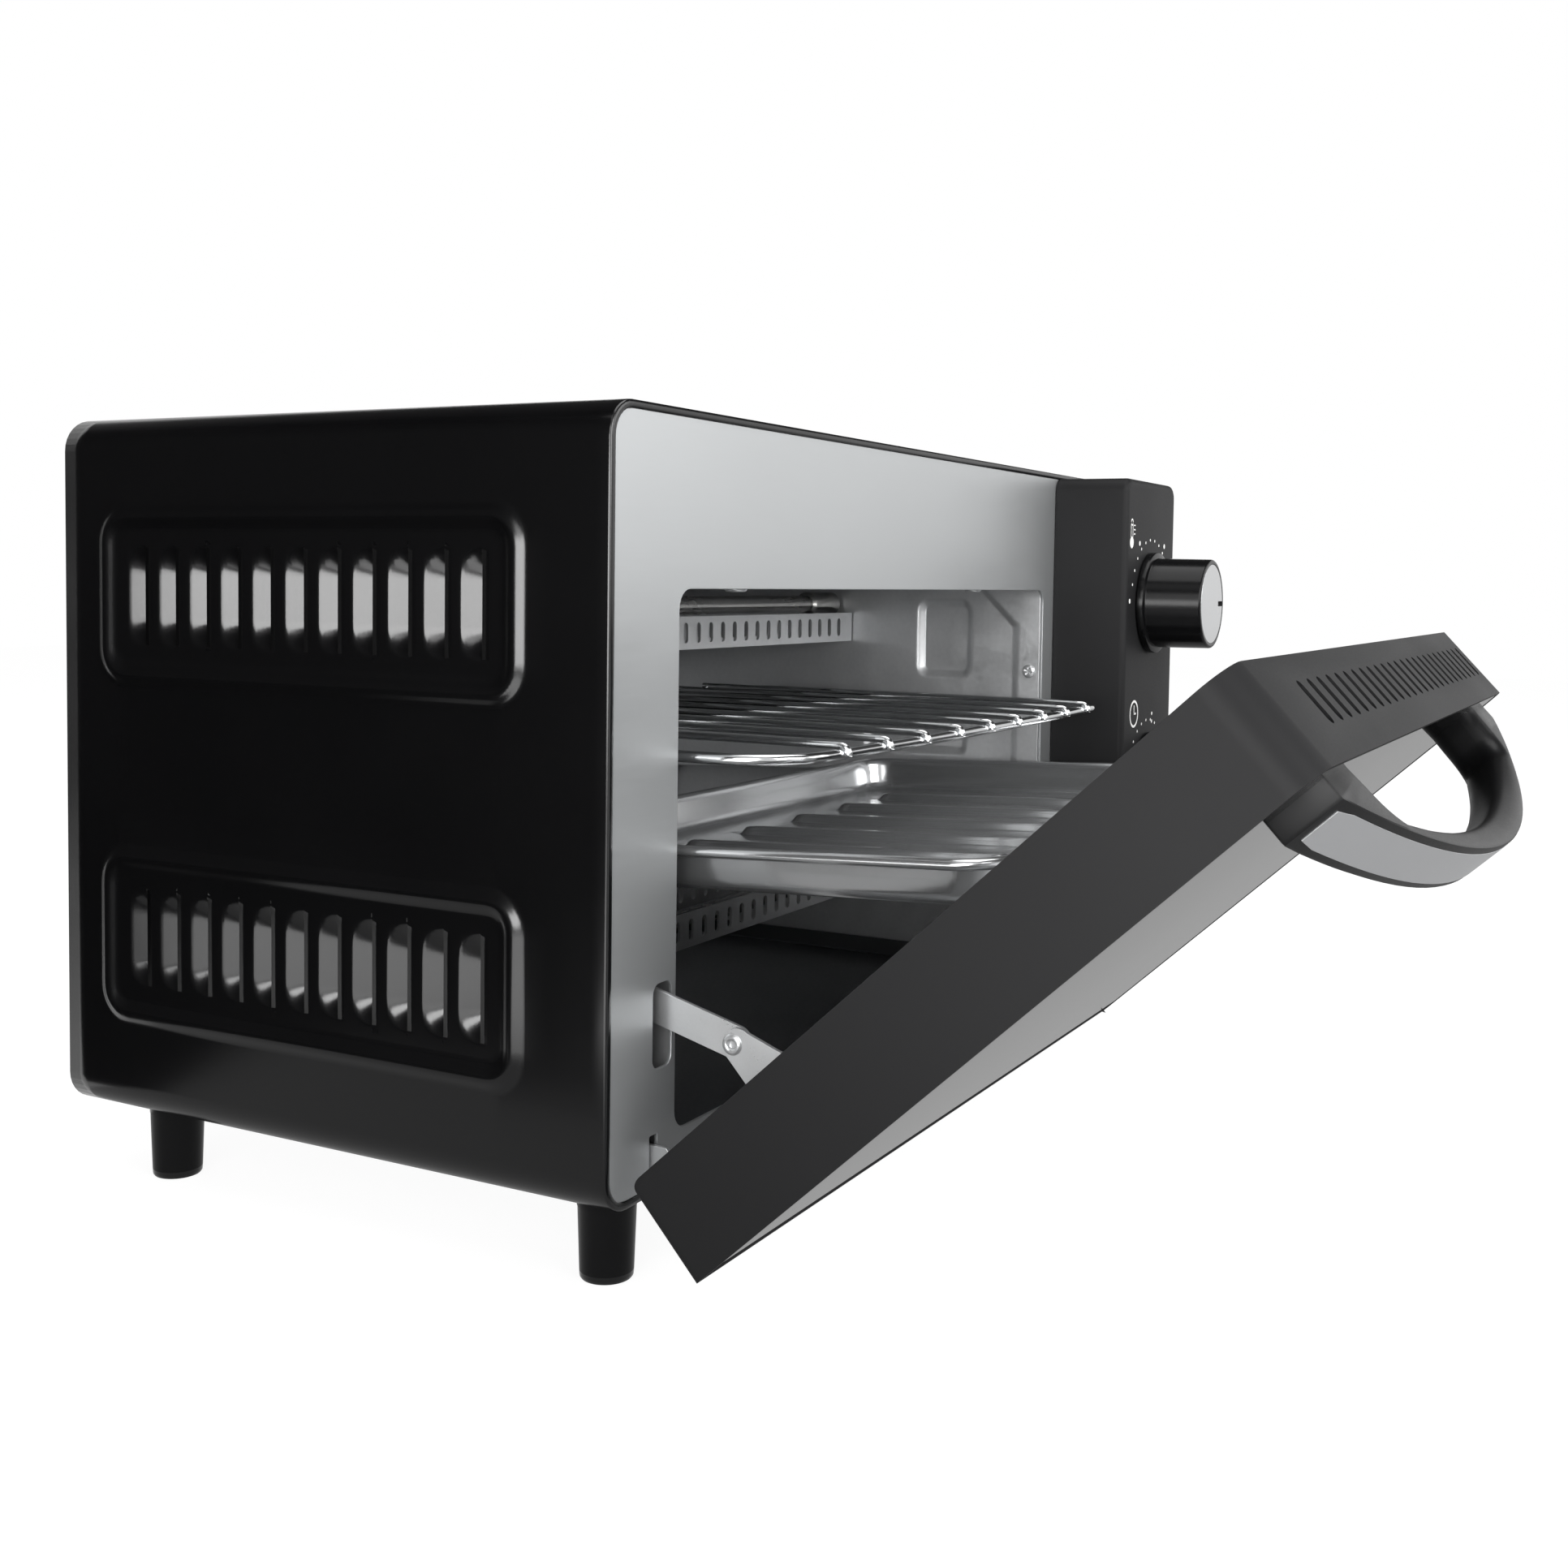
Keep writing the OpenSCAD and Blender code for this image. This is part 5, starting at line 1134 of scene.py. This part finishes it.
def on_tray(x, y, z):
    """A point of the tray: y runs from its front edge, z from the top of its rim."""
    back = y - TRAY_LEN
    c, s = math.cos(slope), math.sin(slope)
    return at(tray_mid + x, TRAY_REAR_Y + back * c + z * s, TRAY_REAR_Z - back * s + z * c)


def tray_outline(inset):
    """The tray's outline drawn in by inset."""
    half = TRAY_W / 2 - inset
    return rounded(-half, inset, half, TRAY_LEN - inset, TRAY_R - inset * 0.6, steps=8)


wall = [(3.1, -1.9), (2.5, -2.7), (1.5, -3.0), (0.5, -2.6), (0.05, -1.9), (0.05, -1.1), (0.5, -0.4),
        (1.5, 0), (2.5, -0.35), (3.2, -1.2), (3.5, -2.6), (3.9, -5), (4.5, -8.4), (5.1, -9.9),
        (6.1, -10.9), (7.4, -11.3), (9, -11.4)]
sides = lofted([[on_tray(x, y, z) for x, y in tray_outline(inset)] for inset, z in wall], capped=False)
RIB_PITCH, RIBS, RIB_HALF, RIB_RISE = 33, 6, 4, 2.3
RIB_FLAT = 1.3  # fills a rib out, so that its crown is level
RIB_Y, (FLOOR_EDGE, FLOOR_Z) = (24, 128), wall[-1]
cell_x = [-16.5, -5, -4, -3.4, -2.7, -1.8, -0.9, 0, 0.9, 1.8, 2.7, 3.4, 4, 5, 16.5]
cell_y = [19, 24, 24.6, 25.4, 26.4, 28, 30, 34, 76, 118, 122, 124, 125.6, 126.6, 127.4, 128, 133]


def rib_rise(x, y):
    """Height of the pressed rib over the floor."""
    off = -off_rounded(x, y - sum(RIB_Y) / 2, RIB_HALF, (RIB_Y[1] - RIB_Y[0]) / 2, RIB_HALF - 0.05)
    return RIB_RISE * math.sin(math.pi / 2 * min(max(RIB_FLAT * off / RIB_HALF, 0), 1))


first = -(RIBS - 1) / 2 * RIB_PITCH
unit = bmesh.new()
grid(unit, lambda x, y: on_tray(first + x, y, FLOOR_Z + rib_rise(x, y)), cell_x, cell_y)
tinplate = finish("bright tinplate", "bcbdbe", 0.2, 0.4, metallic=0.9, spread=0.03, tone=0.03,
                  patch=45)
# Tin over steel: pale and evenly bright, with a soft mirror that its pressing has stretched
ribs = in_rows(unit, tinplate, RIBS, (RIB_PITCH, 0, 0))
across = [first + i * RIB_PITCH + x for i in range(RIBS) for x in cell_x[:-1]] + [cell_x[-1] - first]
window = [(x, cell_y[0]) for x in across] + [(across[-1], y) for y in cell_y[1:-1]]
window += [(x, cell_y[-1]) for x in across[::-1]] + [(across[0], y) for y in cell_y[-2:0:-1]]
base = plate([tray_outline(FLOOR_EDGE), window], lambda a, b, c: on_tray(a, b, FLOOR_Z))
tray = build("tray_pressing", outward(joined(sides, base, ribs)), tinplate, smooth=50)
mount(gauged(tray, 0.5), "tray", "tray_steel", "baking_tray")

# ---------------------------------------------------------------- studio
# A white paper floor under white surroundings, and four soft lamps: left, front, right and
# top. Three black cloths keep the dark paint deep and three lit cards draw its highlights;
# the eye meets them only in reflections. All of this is in metres.

WHITE = (1, 1, 1, 1)


def shown(tree):
    """1 where the eye, a mirror or a glass looks at the surface, 0 where it lights another."""
    rays = add(tree, "ShaderNodeLightPath")
    seen = rays.outputs["Is Camera Ray"]
    for kind in ("Is Glossy Ray", "Is Transmission Ray"):
        seen = add(tree, "ShaderNodeMath", {0: seen, 1: rays.outputs[kind]}, operation="MAXIMUM").outputs[0]
    return seen


def panel(name, stuff, spots):
    """A flat stage panel with a plain material, and that material's node tree."""
    material = bpy.data.materials.new(stuff)
    material.use_nodes = True
    mesh = bpy.data.meshes.new(name)
    mesh.from_pydata(spots, [], [(0, 1, 2, 3)])
    mesh.materials.append(material)
    thing = bpy.data.objects.new(name, mesh)
    bpy.context.scene.collection.objects.link(thing)
    return thing, material.node_tree


def lying(z, *spots):
    """Corners of a level panel."""
    return [(x, y, z) for x, y in spots]


def standing(start, end, low, high):
    """Corners of an upright panel over a line."""
    return [(*start, low), (*end, low), (*end, high), (*start, high)]


# Seamless paper: it shows a plain white, and still takes a part of each shadow
FLOOR, PAPER_GLOW, PAPER_SHARE = 3.0, 1.15, 0.8
tree = panel("floor", "white studio paper", lying(
    0, (-FLOOR, -FLOOR), (FLOOR, -FLOOR), (FLOOR, FLOOR), (-FLOOR, FLOOR)))[1]
tree.nodes.clear()
matt = add(tree, "ShaderNodeBsdfDiffuse", {"Color": linear("f2f2f2")})
glow = add(tree, "ShaderNodeEmission", {"Color": WHITE, "Strength": PAPER_GLOW})
share = add(tree, "ShaderNodeMath", {0: shown(tree), 1: PAPER_SHARE}, operation="MULTIPLY")
both = add(tree, "ShaderNodeMixShader", {0: share.outputs[0], 1: matt.outputs[0], 2: glow.outputs[0]})
add(tree, "ShaderNodeOutputMaterial", {"Surface": both.outputs[0]})

for name, strength, spots in (
        ("left_cloth_upright", 0, standing((-1.4, -0.1), (-0.2, 1.3), 0, 1.2)),
        ("left_cloth_flat", 0, lying(0.001, (-1.4, -0.5), (-0.2, -0.5), (-0.2, 1.3), (-1.4, 1.3))),
        ("ceiling_cloth", 0, lying(1.2, (-0.7, -1.6), (3.2, -1.6), (3.2, 1.6), (-0.7, 1.6))),
        ("left_card_upright", 12.5, standing((-1.05, -0.5), (-1.05, 0.1), 0.06, 0.32)),
        ("right_card_flat", 0.42, lying(0.002, (-0.3, -1.2), (2.4, -1.2), (2.4, 0.2), (-0.3, 0.2))),
        ("left_card_flat", 3.8, lying(0.003, (-0.72, -0.22), (-0.37, -0.12), (-0.37, 0.12), (-0.72, 0.1)))):
    thing, tree = panel(name, "lit card" if strength else "black cloth", spots)
    thing.visible_camera = thing.visible_diffuse = thing.visible_shadow = False
    if strength:
        tree.nodes.clear()
        glow = add(tree, "ShaderNodeEmission", {"Color": WHITE, "Strength": strength})
        add(tree, "ShaderNodeOutputMaterial", {"Surface": glow.outputs[0]})
    else:
        tree.nodes["Principled BSDF"].inputs["Base Color"].default_value = linear("060606")

surroundings = bpy.data.worlds.new("studio")
bpy.context.scene.world = surroundings
surroundings.use_nodes = True
sky = surroundings.node_tree
sky.nodes.clear()
# The sky shows plain white and lights at less than half of that
strength = add(sky, "ShaderNodeMapRange", {"Value": shown(sky), "To Min": 0.4, "To Max": 1.0})
light = add(sky, "ShaderNodeBackground", {"Color": WHITE, "Strength": strength.outputs[0]})
add(sky, "ShaderNodeOutputWorld", {"Surface": light.outputs[0]})


def softbox(name, place, aim, width, height, power):
    """A rectangular soft lamp aimed at a point."""
    lamp = bpy.data.lights.new(name, "AREA")
    lamp.shape, lamp.size, lamp.size_y, lamp.energy = "RECTANGLE", width, height, power
    box = bpy.data.objects.new(name, lamp)
    bpy.context.scene.collection.objects.link(box)
    box.location = place
    box.rotation_euler = (Vector(aim) - Vector(place)).to_track_quat("-Z", "Y").to_euler()


# Each lamp: its place, the point it is aimed at, its width and height, and its watts
softbox("left_lamp", (-1.1, -0.3, 0.4), (-0.18, 0.0, 0.12), 0.6, 0.7, 5)
softbox("front_lamp", (-0.35, -1.1, 0.55), (0.03, 0.0, 0.12), 0.8, 0.7, 13)
softbox("right_lamp", (0.8, -1.2, 0.7), (0, 0, 0.1), 0.9, 0.7, 5)
softbox("top_lamp", (0.0, -0.1, 1.1), (0, 0, 0.1), 0.9, 0.7, 6)

# The camera stands at the front left, a little above the oven, and is rolled by a hair
EYE = Vector((-499.57, -226.36, 170.27)) * MM
YAW, PITCH, ROLL = 0.479383, -0.0526356, 0.0150613
ahead = Vector((math.cos(PITCH) * math.cos(YAW), math.cos(PITCH) * math.sin(YAW), math.sin(PITCH)))
right = ahead.cross(Vector((0, 0, 1))).normalized()
above = right.cross(ahead)
turned_right = right * math.cos(ROLL) + above * math.sin(ROLL)
turned_up = above * math.cos(ROLL) - right * math.sin(ROLL)
lens = bpy.data.cameras.new("camera")
lens.sensor_width, lens.lens = 36, 39.54
lens.shift_x, lens.shift_y = -0.0281, -0.0729
lens.clip_start, lens.clip_end = 0.01, 50
camera = bpy.data.objects.new("camera", lens)
bpy.context.scene.collection.objects.link(camera)
axes = Matrix((turned_right, turned_up, -ahead)).transposed()
camera.matrix_world = Matrix.Translation(EYE) @ axes.to_4x4()
bpy.context.scene.camera = camera
bpy.context.scene.view_settings.view_transform = "Standard"
